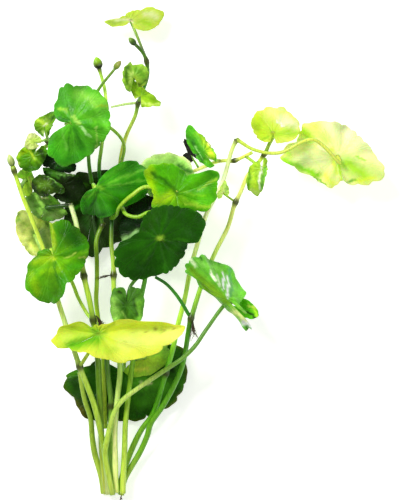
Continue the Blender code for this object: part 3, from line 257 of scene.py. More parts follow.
def shape_blade(p, q, leaf):
    """The flat blade's points, p towards the tip and q to the left, after its folds and bends.

    Each side is first made as wide as its aspect says. Across the crease the surface then rises by the
    left or right fold angle, which changes smoothly from the back of the leaf to its front, and the crease
    is as wide as crease_width. Along the crease the blade bends on an arc. Lengths along the surface are
    kept, but a blade with a drawn margin only rises and sinks under that drawing, and its tilt is such a
    slope too. A cup is added to the height.
    """
    size = leaf["radius"]
    reach = np.hypot(p, q) / size
    left_aspect, right_aspect = pair(leaf.get("aspect", 1.0))
    q = q * np.where(q > 0, left_aspect, right_aspect)
    crease = math.radians(leaf.get("crease", 0.0))
    along = p * math.cos(crease) + q * math.sin(crease)
    across = q * math.cos(crease) - p * math.sin(crease)
    left, right = (pair(side) for side in leaf.get("fold", (0.0, 0.0)))
    to_front = 0.5 + 0.5 * np.tanh(3 * along / size)
    left = left[0] + (left[1] - left[0]) * to_front
    right = right[0] + (right[1] - right[0]) * to_front
    angle = np.radians(np.where(across > 0, left, right))
    width = leaf.get("crease_width", 0.15) * size
    if "margin" in leaf:
        lean = math.radians(leaf.get("lean", 0.0) - leaf["heading"])
        bend, tilt = (math.tan(math.radians(leaf.get(key, 0.0))) for key in ("bend", "tilt"))
        height = np.tan(angle) * (np.hypot(across, width) - width)
        height = height + bend * along**2 / (2 * size) - tilt * (p * math.cos(lean) + q * math.sin(lean))
        return cupped(p, q, height, leaf, reach)
    parts = (np.arange(SLOPE_PARTS) + 0.5) / SLOPE_PARTS
    slope = angle[..., None] * np.tanh(across[..., None] * parts / width)
    flat = across * np.cos(slope).mean(axis=-1)
    height = across * np.sin(slope).mean(axis=-1)
    bend = math.radians(leaf.get("bend", 0.0)) / size
    slope = bend * along[..., None] * parts
    forward = along * np.cos(slope).mean(axis=-1) - height * np.sin(bend * along)
    height = along * np.sin(slope).mean(axis=-1) + height * np.cos(bend * along)
    ahead = forward * math.cos(crease) - flat * math.sin(crease)
    sideways = forward * math.sin(crease) + flat * math.cos(crease)
    return cupped(ahead, sideways, height, leaf, reach)


def leaf_axes(leaf):
    """Columns: the blade's tip direction, its left and its upper side, in the object's own frame.

    The blade's upper side faces up and leans over by tilt towards lean. A leaf that shows its underside
    is turned over about its own tip direction. A drawn blade stays level and has its slope in its height.
    """
    lean = direction(leaf.get("lean", 0.0))
    tilt = 0.0 if "margin" in leaf else math.radians(leaf.get("tilt", 0.0))
    normal = lean * math.sin(tilt) + np.array([0.0, 0.0, math.cos(tilt)])
    level = np.cross([0.0, 0.0, 1.0], lean)
    downhill = np.cross(level, normal)
    heading = direction(leaf["heading"])
    tip = np.dot(heading, lean) * downhill + np.dot(heading, level) * level
    if leaf.get("underside_up", False):
        normal = -normal
    return np.stack([tip, np.cross(normal, tip), normal], axis=1)


def notched_margin(theta, reach, opening, leaf, sizes):
    """The margin's distance from the stalk in millimetres, with its notches, at every point of the grid.

    Each notch is a sharp point between two arches, and its place and depth waver. The notches fade inwards
    with the fourth power of the reach, and so does the ragged edge of a torn leaf.
    """
    seed = leaf["seed"]
    crowd = 1.4 if "reaches" in leaf else 1.0  # a given margin already has its larger notches
    scallops = max(3, round(crowd * leaf.get("scallops", 12) * opening / math.pi))
    notch = (theta + 0.12 * wobble(2 * theta, seed)) * scallops / (2 * opening) + 0.5 * (scallops % 2)
    depth = sizes.notch_depth * (1 + 0.5 * wobble(3 * theta, seed + 1))
    toothed = 1 - depth * (1 - abs(np.sin(math.pi * notch)) ** 0.55)
    toothed = toothed * (1 + 0.012 * wobble(9 * theta, seed + 2))
    ragged = leaf.get("ragged", 0.0) * (wobble(7 * theta, seed + 4) + 0.6 * wobble(19 * theta, seed + 5))
    return outline(theta, leaf) * leaf["radius"] * (1 + (toothed - 1 + ragged) * reach**4)


def skin_lift(p, q, theta, reach, vein, leaf, sizes):
    """How far a blade's skin stands out along its own normal, in millimetres.

    It rises between the veins, by a cosine that fades at the stalk and is given for a radius of 20 mm. To
    that come slow waves over the whole blade, waves of the margin that grow with the cube of the reach,
    and each crease as a bell curve over an angle.
    """
    size, seed = leaf["radius"], leaf["seed"]
    between = 0.5 - 0.5 * np.cos(2 * math.pi * vein)
    lift = sizes.pucker_mm * (size / 20) * (between - 0.35) * reach * (1.25 - reach**2)
    waves = wobble(p / size * 5 + 2, seed + 6) * wobble(q / size * 5, seed + 7)
    lift = lift + size * (LEAST_RUMPLE + leaf.get("rumple", 0.0)) * waves * reach
    edge = wobble(theta * 2.6, seed + 8)
    lift = lift + size * (LEAST_FRILL + leaf.get("frill", 0.0)) * edge * reach**3
    for angle, height, width in leaf.get("creases", ()):
        lift = lift + size * height * reach * np.exp(-((turn_from(theta, angle) / width) ** 2))
    return lift


def facing(points):
    """The way a polar grid of points faces, square to its rows and columns."""
    along, around = np.gradient(points, axis=1), np.gradient(points, axis=0)
    return unit(np.cross(along, around))


def leaf_grid(leaf, columns, rows, sizes):
    """The middle sheet of a blade as points, the way its upper side faces, and what its pattern needs.

    Polar grid: columns go round from one side of the cut to the other, rows from the stalk to the margin.
    The flat leaf is folded and bent, then its skin is lifted along its own normal. The pattern is a count
    of main veins, the width in millimetres of one vein's sector, and the reach, which is 1 at the margin.
    """
    size = leaf["radius"]
    opening = math.radians(180 - leaf.get("cut", 10.0))
    theta = np.linspace(-opening, opening, columns)[:, None]
    # The grid starts a little outside the stalk's middle, and its rows are closer near the margin
    reach = 0.02 + 0.98 * np.linspace(0, 1, rows)[None] ** 0.85
    margin = notched_margin(theta, reach, opening, leaf, sizes)
    p, q = reach * margin * np.cos(theta), reach * margin * np.sin(theta)
    veins = max(3, round(VEINS * opening / math.pi))
    vein = theta * veins / (2 * opening) + 0.5 * (veins % 2)
    vein = vein + 0.06 * wobble(3 * theta + 2 * reach, leaf["seed"] + 3)
    lift = skin_lift(p, q, theta, reach, vein, leaf, sizes)
    middle = shape_blade(p, q, leaf)
    middle = middle + lift[..., None] * facing(middle)
    axes = leaf_axes(leaf)
    points = middle @ axes.T + np.array(leaf["at"], float)
    points[..., 2] = np.maximum(points[..., 2], CENTRE[2] + LEAST_HEIGHT)
    pattern = np.stack([vein, reach * margin * 2 * opening / veins, reach + 0 * vein], axis=-1)
    # How high the skin stands, for painted highlights on its ridges and painted shade in its hollows
    relief = np.clip(lift / (FULL_RELIEF * size), -1, 1)
    return points, facing(middle) @ axes.T, pattern, relief


def blend(colours, target, amount):
    """The colours, moved towards the target by the amount, which is 0 to 1."""
    return colours + (linear(target) - colours) * np.clip(amount, 0, 1)[..., None]


def leaf_tones(leaf, points, reach, relief):
    """A blade's colour at its points.

    It runs from the inner to the outer tone, then turns towards each named side, the rim and each streak.
    A side's tint is partly the leaf's own colour and partly painted light and shade. Streaks are the leaf's
    own markings, and also painted highlights and painted shade.
    A streak fades with the distance from its middle line, as exp(-(distance / width) squared), and sways.
    Raised parts of the blade are painted paler and sunken ones darker: painted highlights and painted shade.
    """
    away = points - np.array(leaf["at"], float)
    inner, outer = leaf["tones"]
    colours = blend(np.broadcast_to(linear(inner), points.shape), outer, reach)
    # A tint towards a side: partly the leaf's own colour, partly painted light and shade on that side
    for angle, colour, amount in leaf.get("sides", ()):
        lean = away @ direction(angle) / leaf["radius"]
        colours = blend(colours, colour, amount * np.clip(1.4 * lean + 0.1, 0, 1))
    if "rim" in leaf:
        colour, amount, width = leaf["rim"]
        colours = blend(colours, colour, amount * np.clip((reach - 1 + width) / width, 0, 1))
    x, y = away[..., 0], away[..., 1]
    sway_x = wobble(0.9 * x + 0.7 * y, leaf["seed"])
    sway_y = wobble(0.8 * y - 0.9 * x, leaf["seed"] + 1)
    swayed = away[..., :2] + STREAK_SWAY * np.stack([sway_x, sway_y], axis=-1)
    # Streaks: the leaf's own markings, and painted highlights and painted shade
    for start_x, start_y, end_x, end_y, width, colour, amount in leaf.get("streaks", ()):
        along = np.array([end_x - start_x, end_y - start_y])
        apart = swayed - [start_x, start_y]
        share = np.clip(apart @ along / max(along @ along, 1e-6), 0, 1)
        distance = np.linalg.norm(apart - share[..., None] * along, axis=-1)
        colours = blend(colours, colour, amount * np.exp(-((distance / width) ** 2)))
    # Painted highlights on the ridges and painted shade in the hollows
    return np.clip(colours * (1 + RELIEF_PAINTED_LIGHT * relief[..., None]), 0, 1)


def blade_part(leaf, sizes):
    """A closed blade: the middle sheet moved half its thickness up and down, and joined all round.

    Each column's points run from the stalk to the margin on the upper side and back on the lower one. A
    middle point on either side closes the hole at the stalk by a fan, and the two sides of the cut are
    closed by walls. The blade thins towards its margin.
    """
    size = leaf["radius"]
    columns, rows = next((columns, rows) for least, columns, rows in BLADE_GRIDS if size > least)
    middle, up, pattern, relief = leaf_grid(leaf, columns, rows, sizes)
    reach = pattern[..., 2]
    half = 0.5 * sizes.blade_mm * (1 - 0.65 * reach**3)[..., None]
    upper, lower = middle + half * up, middle - half * up
    sheet = np.concatenate([upper, lower[:, ::-1]], axis=1).reshape(-1, 3)
    centre = middle[:, 0].mean(axis=0)
    rise = 0.5 * sizes.blade_mm * unit(up[:, 0].mean(axis=0))
    wide = 2 * rows
    top, bottom = columns * wide, columns * wide + 1
    starts = np.arange(columns - 1) * wide
    fan_top = np.stack([np.full(columns - 1, top), starts, starts + wide], axis=1)
    ends = starts + wide - 1
    fan_bottom = np.stack([np.full(columns - 1, bottom), ends + wide, ends], axis=1)
    walls = []
    for first, order in ((0, (0, 1, 2, 3)), ((columns - 1) * wide, (0, 3, 2, 1))):
        high = np.concatenate([[top], first + np.arange(rows)])
        low = np.concatenate([[bottom], first + wide - 1 - np.arange(rows)])
        corners = [high[:-1], low[:-1], low[1:], high[1:]]
        walls.append(np.stack([corners[k] for k in order], axis=1))
    tones = leaf_tones(leaf, middle, reach, relief)
    tones = np.concatenate([tones, tones[:, ::-1]], axis=1).reshape(-1, 3)
    pattern = np.concatenate([pattern, pattern[:, ::-1]], axis=1).reshape(-1, 3)
    under = np.concatenate([np.zeros_like(reach), np.ones_like(reach)], axis=1).reshape(-1)
    return {
        "points": np.concatenate([sheet, [centre + rise, centre - rise]]),
        "faces": [grid_faces(columns, wide), fan_top, fan_bottom, *walls],
        "tones": np.concatenate([tones, tones[:1], tones[:1]]),
        "pattern": np.concatenate([pattern, [[0.5, 0.0, 0.0]] * 2]),
        "under": np.concatenate([under, [0.0, 1.0]]),
        "material": leaf.get("skin", "blade"),
    }


def rod_part(points, faces, tones, lengths, share, material="stem"):
    """A rod's points and faces, and what its skin reads: the tones, and how far along the rod each is."""
    return {
        "points": points,
        "faces": faces,
        "tones": tones,
        "pattern": np.stack([lengths, share, share], axis=1),
        "under": np.zeros(len(points)),
        "material": material,
    }


def stalk_part(leaf, stems, sizes):
    """The stalk: a round rod from the blade's middle down its curve and into the stem, with wider ends."""
    axes = leaf_axes(leaf)
    place = np.array(leaf["at"], float)
    radius = leaf.get("stalk_radius", sizes.stalk_mm / 2)
    down = -axes[:, 2]
    lead = place + leaf.get("stalk_drop", 5.0) * unit(down - leaf.get("stalk_lead", 0.6) * axes[:, 0])
    meeting = stems[leaf["on"]].point_at(leaf["joint"])
    route = smooth_route([place, place + 1.2 * radius * down, lead, *leaf.get("via", ()), meeting], 0.5)
    length = lengths_along(route)[-1]
    lengths = np.linspace(0, length, max(14, int(length / ROD_STEP)))
    flare = 1 + 0.55 * np.exp(-lengths / 1.0) + 0.3 * np.exp(-(length - lengths) / 2.0)
    radii = 0.92 * radius * flare * (1 + 0.04 * wobble(lengths / 3, leaf["seed"]))
    points, faces, along = tube(at_lengths(route, lengths), radii, STALK_SIDES, 0.06)
    share = (lengths / length)[along]
    near, far = leaf.get("stalk_tones", STALK_TONES)
    tones = blend(np.broadcast_to(linear(near), points.shape), far, share)
    # Dark where it comes out of its knot
    tones = blend(tones, "#4a5a1e", 0.6 * np.exp(-(((1 - share) * length / 1.6) ** 2)))
    return rod_part(points, faces, tones, lengths[along], share)


def tones_along(share, tones):
    """Tones that run evenly from the first at share 0 to the last at share 1."""
    given = np.array([linear(tone) for tone in tones])
    places = np.linspace(0, 1, len(given))
    return np.stack([np.interp(share, places, channel) for channel in given.T], axis=1)


def stem_part(stem, sizes, seed):
    """A stem: a round rod whose radius eases from end to end, and which swells and is dark at its knots."""
    lengths = np.linspace(0, stem.length, max(24, int(stem.length / ROD_STEP)))
    radii = stem.radius(lengths, sizes.knot_mm) * (1 + 0.035 * wobble(lengths / 7, seed))
    # Both ends are rounded off
    radii[[0, -1]] *= 0.82
    lengths[[1, -2]] = [END_ROUNDING, stem.length - END_ROUNDING]
    points, faces, along = tube(at_lengths(stem.route, lengths), radii, STEM_SIDES, 0.05)
    share = (lengths / stem.length)[along]
    tones = tones_along(share, stem.tones)
    # A knot is a nearly black ring with an olive fringe, and a stem without one has neither
    away = np.full(len(along), 1e3)
    for knot in stem.knots:
        away = np.minimum(away, abs(lengths[along] - knot))
    tones = blend(tones, "#1c1808", 0.94 * np.exp(-((away / 1.6) ** 4)))
    tones = blend(tones, "#5a6a22", 0.35 * np.exp(-((away / 3.2) ** 2)))
    return rod_part(points, faces, tones, lengths[along], share)


def egg_part(start, heading, length, radius, tones, seed):
    """A bud: circles carried along a short line, as wide as an egg is, with three shallow furrows."""
    heading = unit(np.array(heading, float))
    places = np.interp(np.linspace(0, 1, EGG_RINGS), np.linspace(0, 1, len(EGG_PLACES)), EGG_PLACES)
    widths = np.interp(places, EGG_PLACES, EGG_WIDTHS)
    path = np.array(start) + heading * length * places[:, None]
    path[:, 1] += 0.03 * length * places**2
    points, faces, along = tube(path, np.maximum(radius * widths, 0.02), BUD_SIDES)
    out = points - path[along]
    angle = np.arctan2(out @ unit(np.cross(heading, [0.31, 0.2, 0.93])), out[:, 2])
    furrow = 1 - 0.16 * abs(np.cos(1.5 * angle + seed)) ** 6
    share = places[along]
    return rod_part(path[along] + out * furrow[:, None], faces, tones_along(share, tones), share, share)


def hair_part(start, heading, length, spread, seed, radius):
    """One root hair: a thin rod along a curve that sets off in its tuft's heading and wanders sideways."""
    heading = unit(np.array(heading, float))
    t = np.linspace(0, 1, 12)[:, None]
    side = unit(np.cross(heading, [math.sin(seed * 2.4), math.cos(seed * 2.4), 0.35]))
    other = np.cross(heading, side)
    bend = side * wobble(2.2 * t, seed) * 0.35 + other * wobble(2.6 * t, seed + 5) * 0.35
    path = np.array(start) + length * (heading * t + spread * side * t**1.4 + bend * t**1.5 * spread)
    path[:, 2] = np.maximum(path[:, 2], 0.5)  # no hair lies in the surface
    points, faces, along = tube(path, radius * (1 - 0.75 * t[:, 0]), HAIR_SIDES)
    share = t[along, 0]
    tones = blend(np.broadcast_to(linear("#241a0e"), points.shape), "#5a4526", 0.6 * share)
    return rod_part(points, faces, tones, share, share, "root")


def make_stems():
    """Every stem of the table."""
    return {name: Stem(**stem) for name, stem in STEMS.items()}


def add_piece(name, parts, materials, node):
    """One object of these parts, in metres and in place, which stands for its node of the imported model."""
    counts = np.cumsum([0] + [len(part["points"]) for part in parts])
    faces, skins = [], []
    used = sorted({part["material"] for part in parts})
    for part, first in zip(parts, counts):
        for block in part["faces"]:
            faces += (block + first).tolist()
            skins += [used.index(part["material"])] * len(block)
    mesh = bpy.data.meshes.new(name)
    points = (np.concatenate([part["points"] for part in parts]) - CENTRE) * TO_METRES
    mesh.from_pydata(points.tolist(), [], faces)
    for skin in used:
        mesh.materials.append(materials[skin])
    mesh.polygons.foreach_set("material_index", skins)
    tones = np.concatenate([part["tones"] for part in parts])
    tones = np.concatenate([tones, np.ones((len(tones), 1))], axis=1)
    mesh.attributes.new("tone", "FLOAT_COLOR", "POINT").data.foreach_set("color", tones.ravel())
    pattern = np.concatenate([part["pattern"] for part in parts])
    mesh.attributes.new("pattern", "FLOAT_VECTOR", "POINT").data.foreach_set("vector", pattern.ravel())
    under = np.concatenate([part["under"] for part in parts])
    mesh.attributes.new("under", "FLOAT", "POINT").data.foreach_set("value", under)
    mesh.shade_smooth()
    mesh.update()
    piece = bpy.data.objects.new(name, mesh)
    bpy.context.collection.objects.link(piece)
    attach(piece, "root")
    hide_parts(node)
    return piece


def add_node(tree, kind, inputs=(), output=0, **settings):
    """One output of a new shader node, with its settings and each input set to a value or linked."""
    node = tree.nodes.new(kind)
    for name, value in settings.items():
        setattr(node, name, value)
    for key, value in dict(inputs).items():
        if isinstance(value, bpy.types.NodeSocket):
            tree.links.new(value, node.inputs[key])
        else:
            node.inputs[key].default_value = value
    return node.outputs[output]


def new_material(name, roughness, ior=1.42, subsurface=0.0, reach=(1.0, 1.0, 1.0), scale=0.001):
    """A material, its node tree and its Principled shader."""
    material = bpy.data.materials.new(name)
    material.use_nodes = True
    shader = material.node_tree.nodes["Principled BSDF"]
    shader.inputs["Roughness"].default_value = roughness
    shader.inputs["IOR"].default_value = ior
    shader.inputs["Subsurface Weight"].default_value = subsurface
    shader.inputs["Subsurface Radius"].default_value = reach
    shader.inputs["Subsurface Scale"].default_value = scale
    return material, material.node_tree, shader


def vein_mask(tree, pattern):
    """1 on a vein and 0 away from it.

    The vein coordinate is a whole number on a main vein, so its distance from the nearest whole number,
    times the millimetres that one vein's sector is wide there, is the distance from the vein. Each main
    vein forks at 0.4 of the way to the margin, and its branches fork again at 0.68. The first fork, at
    2.0, lies outside the leaf, so that step draws the main veins alone.
    """
    vein, sector, reach = add_node(tree, "ShaderNodeSeparateXYZ", {0: pattern}, output=slice(3))
    distance = add_node(tree, "ShaderNodeMath", {0: vein, 1: 0.5}, operation="PINGPONG")
    whole = None
    for fork, wide in ((2.0, 0.62), (0.40, 0.44), (0.68, 0.34)):
        opening = {"Value": reach, "From Min": fork, "From Max": fork + 1.0, "To Max": 0.42}
        opened = add_node(tree, "ShaderNodeMapRange", opening)
        distance = add_node(tree, "ShaderNodeMath", {0: distance, 1: opened}, operation="SUBTRACT")
        distance = add_node(tree, "ShaderNodeMath", {0: distance}, operation="ABSOLUTE")
        apart = add_node(tree, "ShaderNodeMath", {0: distance, 1: sector}, operation="MULTIPLY")
        narrowing = {"Value": reach, "To Min": wide, "To Max": 0.45 * wide}
        width = add_node(tree, "ShaderNodeMapRange", narrowing)
        fading = {"Value": apart, "From Max": width, "To Min": 1.0, "To Max": 0.0}
        near = add_node(tree, "ShaderNodeMapRange", fading, interpolation_type="SMOOTHSTEP")
        if whole is None:
            whole = near
        else:
            whole = add_node(tree, "ShaderNodeMath", {0: whole, 1: near}, operation="MAXIMUM")
    # Near the stalk all veins meet, and would cover the blade
    parting = {"Value": reach, "From Max": 0.3, "To Min": 0.15}
    spread = add_node(tree, "ShaderNodeMapRange", parting)
    return add_node(tree, "ShaderNodeMath", {0: whole, 1: spread}, operation="MULTIPLY")


def mottled(tree, colour, noise, least, most):
    """The colour times a value that runs from least to most as the noise goes from low to high."""
    ranging = {"Value": noise, **NOISE_RANGE, "To Min": least, "To Max": most}
    shade = add_node(tree, "ShaderNodeMapRange", ranging)
    return add_node(tree, "ShaderNodeVectorMath", {0: colour, "Scale": shade}, operation="SCALE")


def blade_material(name, colours, gloss, index, light_through, vein_strength, underside, patchy):
    """Fresh leaf skin, waxy and smooth: light comes through it a little, and its veins are pale."""
    material, tree, shader = new_material(name, gloss, index, light_through, (0.45, 1.0, 0.08), 0.0012)
    tone = add_node(tree, "ShaderNodeAttribute", attribute_name="tone", output="Color")
    under = add_node(tree, "ShaderNodeAttribute", attribute_name="under", output="Fac")
    pattern = add_node(tree, "ShaderNodeAttribute", attribute_name="pattern", output="Vector")
    veins = vein_mask(tree, pattern)
    place = add_node(tree, "ShaderNodeTexCoord", output="Object")
    # The net of the finest veins has cells about 1.6 mm wide
    cells = {"Vector": place, "Scale": 620.0}
    net = add_node(tree, "ShaderNodeTexVoronoi", cells, feature="DISTANCE_TO_EDGE")
    fading = {"Value": net, "From Max": 0.2, "To Min": 1.0, "To Max": 0.0}
    net = add_node(tree, "ShaderNodeMapRange", fading)
    # Soft mottling about 7 mm across, and fine mottling under 1 mm
    mottle = add_node(tree, "ShaderNodeTexNoise", {"Vector": place, "Scale": 140.0, "Detail": 3.0})
    fine = add_node(tree, "ShaderNodeTexNoise", {"Vector": place, "Scale": 1300.0, "Detail": 2.0})
    colour = mottled(tree, tone, mottle, 1 - patchy, 1 + patchy)
    colour = mottled(tree, colour, fine, 1 - 0.4 * patchy, 1 + 0.4 * patchy)
    # Veins are the colour made paler, plus the vein light
    light = add_node(tree, "ShaderNodeVectorMath", {0: colour, "Scale": 1.6}, operation="SCALE")
    light = add_node(tree, "ShaderNodeVectorMath", {0: light, 1: colours.vein}, operation="ADD")
    for mask, amount in ((veins, vein_strength), (net, 0.25 * vein_strength)):
        amount = add_node(tree, "ShaderNodeMath", {0: mask, 1: amount}, operation="MULTIPLY")
        mixing = {0: amount, 6: colour, 7: light}
        colour = add_node(tree, "ShaderNodeMix", mixing, data_type="RGBA", output=2)
    amount = add_node(tree, "ShaderNodeMath", {0: under, 1: underside}, operation="MULTIPLY")
    mixing = {0: amount, 6: colour, 7: (*colours.underside, 1.0)}
    colour = add_node(tree, "ShaderNodeMix", mixing, data_type="RGBA", output=2)
    tree.links.new(colour, shader.inputs["Base Color"])
    # Veins are sunk in the upper skin, and the skin between them is slightly quilted
    height = add_node(tree, "ShaderNodeMath", {0: veins, 1: -1.0, 2: 0.0}, operation="MULTIPLY_ADD")
    height = add_node(tree, "ShaderNodeMath", {0: net, 1: -0.35, 2: height}, operation="MULTIPLY_ADD")
    height = add_node(tree, "ShaderNodeMath", {0: mottle, 1: 1.6, 2: height}, operation="MULTIPLY_ADD")
    bump = add_node(tree, "ShaderNodeBump", {"Strength": 0.45, "Distance": 0.0003, "Height": height})
    tree.links.new(bump, shader.inputs["Normal"])
    # The wax is a little rougher where the mottling is pale, and all over the underside
    ranging = {"Value": mottle, **NOISE_RANGE, "To Min": gloss - 0.08, "To Max": gloss + 0.12}
    rough = add_node(tree, "ShaderNodeMapRange", ranging)
    rough = add_node(tree, "ShaderNodeMath", {0: under, 1: 0.22, 2: rough}, operation="MULTIPLY_ADD")
    tree.links.new(rough, shader.inputs["Roughness"])
    return material


def stem_material(name):
    """Juicy herb stem: a wet-looking skin over clear flesh, faint lengthwise streaks, painted shade at its
    sides.
    """
    material, tree, shader = new_material(name, 0.3, 1.42, 0.3, (0.7, 1.0, 0.25), 0.0015)
    tone = add_node(tree, "ShaderNodeAttribute", attribute_name="tone", output="Color")
    # Painted shade and highlight: the stem is darker and greener at its sides and paler where it faces the
    # eye.
    # This stands partly for its shading, and partly for clear flesh, which looks deeper green where the eye
    # looks through more of it
    facing_away = add_node(tree, "ShaderNodeLayerWeight", {"Blend": 0.5}, output="Facing")
    edge_shading = {"Value": facing_away, "From Min": 0.15, "From Max": 0.8, "To Min": 0.0, "To Max": 1.0}
    depth = add_node(tree, "ShaderNodeMapRange", edge_shading)
    taken, full = (-0.62, -0.36, -0.68), (1.14, 1.14, 1.14)
    passing = {0: depth, 1: taken, 2: full}
    left = add_node(tree, "ShaderNodeVectorMath", passing, operation="MULTIPLY_ADD")
    tone = add_node(tree, "ShaderNodeVectorMath", {0: tone, 1: left}, operation="MULTIPLY")
    place = add_node(tree, "ShaderNodeTexCoord", output="Object")
    # Streaks about 0.5 mm wide and 8 mm long, because the stems run mostly along Y
    long_way = add_node(tree, "ShaderNodeMapping", {"Vector": place, "Scale": (2000.0, 120.0, 2000.0)})
    streak = add_node(tree, "ShaderNodeTexNoise", {"Vector": long_way, "Scale": 1.0, "Detail": 2.0})
    tree.links.new(mottled(tree, tone, streak, 0.78, 1.2), shader.inputs["Base Color"])
    bump = add_node(tree, "ShaderNodeBump", {"Strength": 0.3, "Distance": 0.0002, "Height": streak})
    tree.links.new(bump, shader.inputs["Normal"])
    return material


def plain_toned_material(name, roughness):
    """A dull skin that only shows its own tones, as withered leaves and roots do."""
    material, tree, shader = new_material(name, roughness)
    tone = add_node(tree, "ShaderNodeAttribute", attribute_name="tone", output="Color")
    place = add_node(tree, "ShaderNodeTexCoord", output="Object")
    grain = add_node(tree, "ShaderNodeTexNoise", {"Vector": place, "Scale": 700.0, "Detail": 3.0})
    tree.links.new(mottled(tree, tone, grain, 0.6, 1.4), shader.inputs["Base Color"])
    bump = add_node(tree, "ShaderNodeBump", {"Strength": 0.6, "Distance": 0.0004, "Height": grain})
    tree.links.new(bump, shader.inputs["Normal"])
    return material


def get_materials(colours):
    """The skins of the plant, made the first time they are asked for."""
    names = {
        "blade": "fresh leaf skin",
        "dark_blade": "glossy old leaf skin",
        "thin_blade": "thin young leaf skin",
        "withered": "withered leaf skin",
        "stem": "juicy stem skin",
        "root": "fine root skin",
    }
    if names["blade"] not in bpy.data.materials:
        # Gloss, index of refraction, light let through, strength of the veins, pale underside, mottling
        blade_material(names["blade"], colours, 0.3, 1.26, 0.08, 0.26, 0.3, 0.26)
        blade_material(names["dark_blade"], colours, 0.3, 1.2, 0.03, 0.12, 0.06, 0.26)
        blade_material(names["thin_blade"], colours, 0.4, 1.26, 0.4, 0.18, 0.0, 0.07)
        plain_toned_material(names["withered"], 0.7)
        stem_material(names["stem"])
        plain_toned_material(names["root"], 0.75)
    return {key: bpy.data.materials[name] for key, name in names.items()}
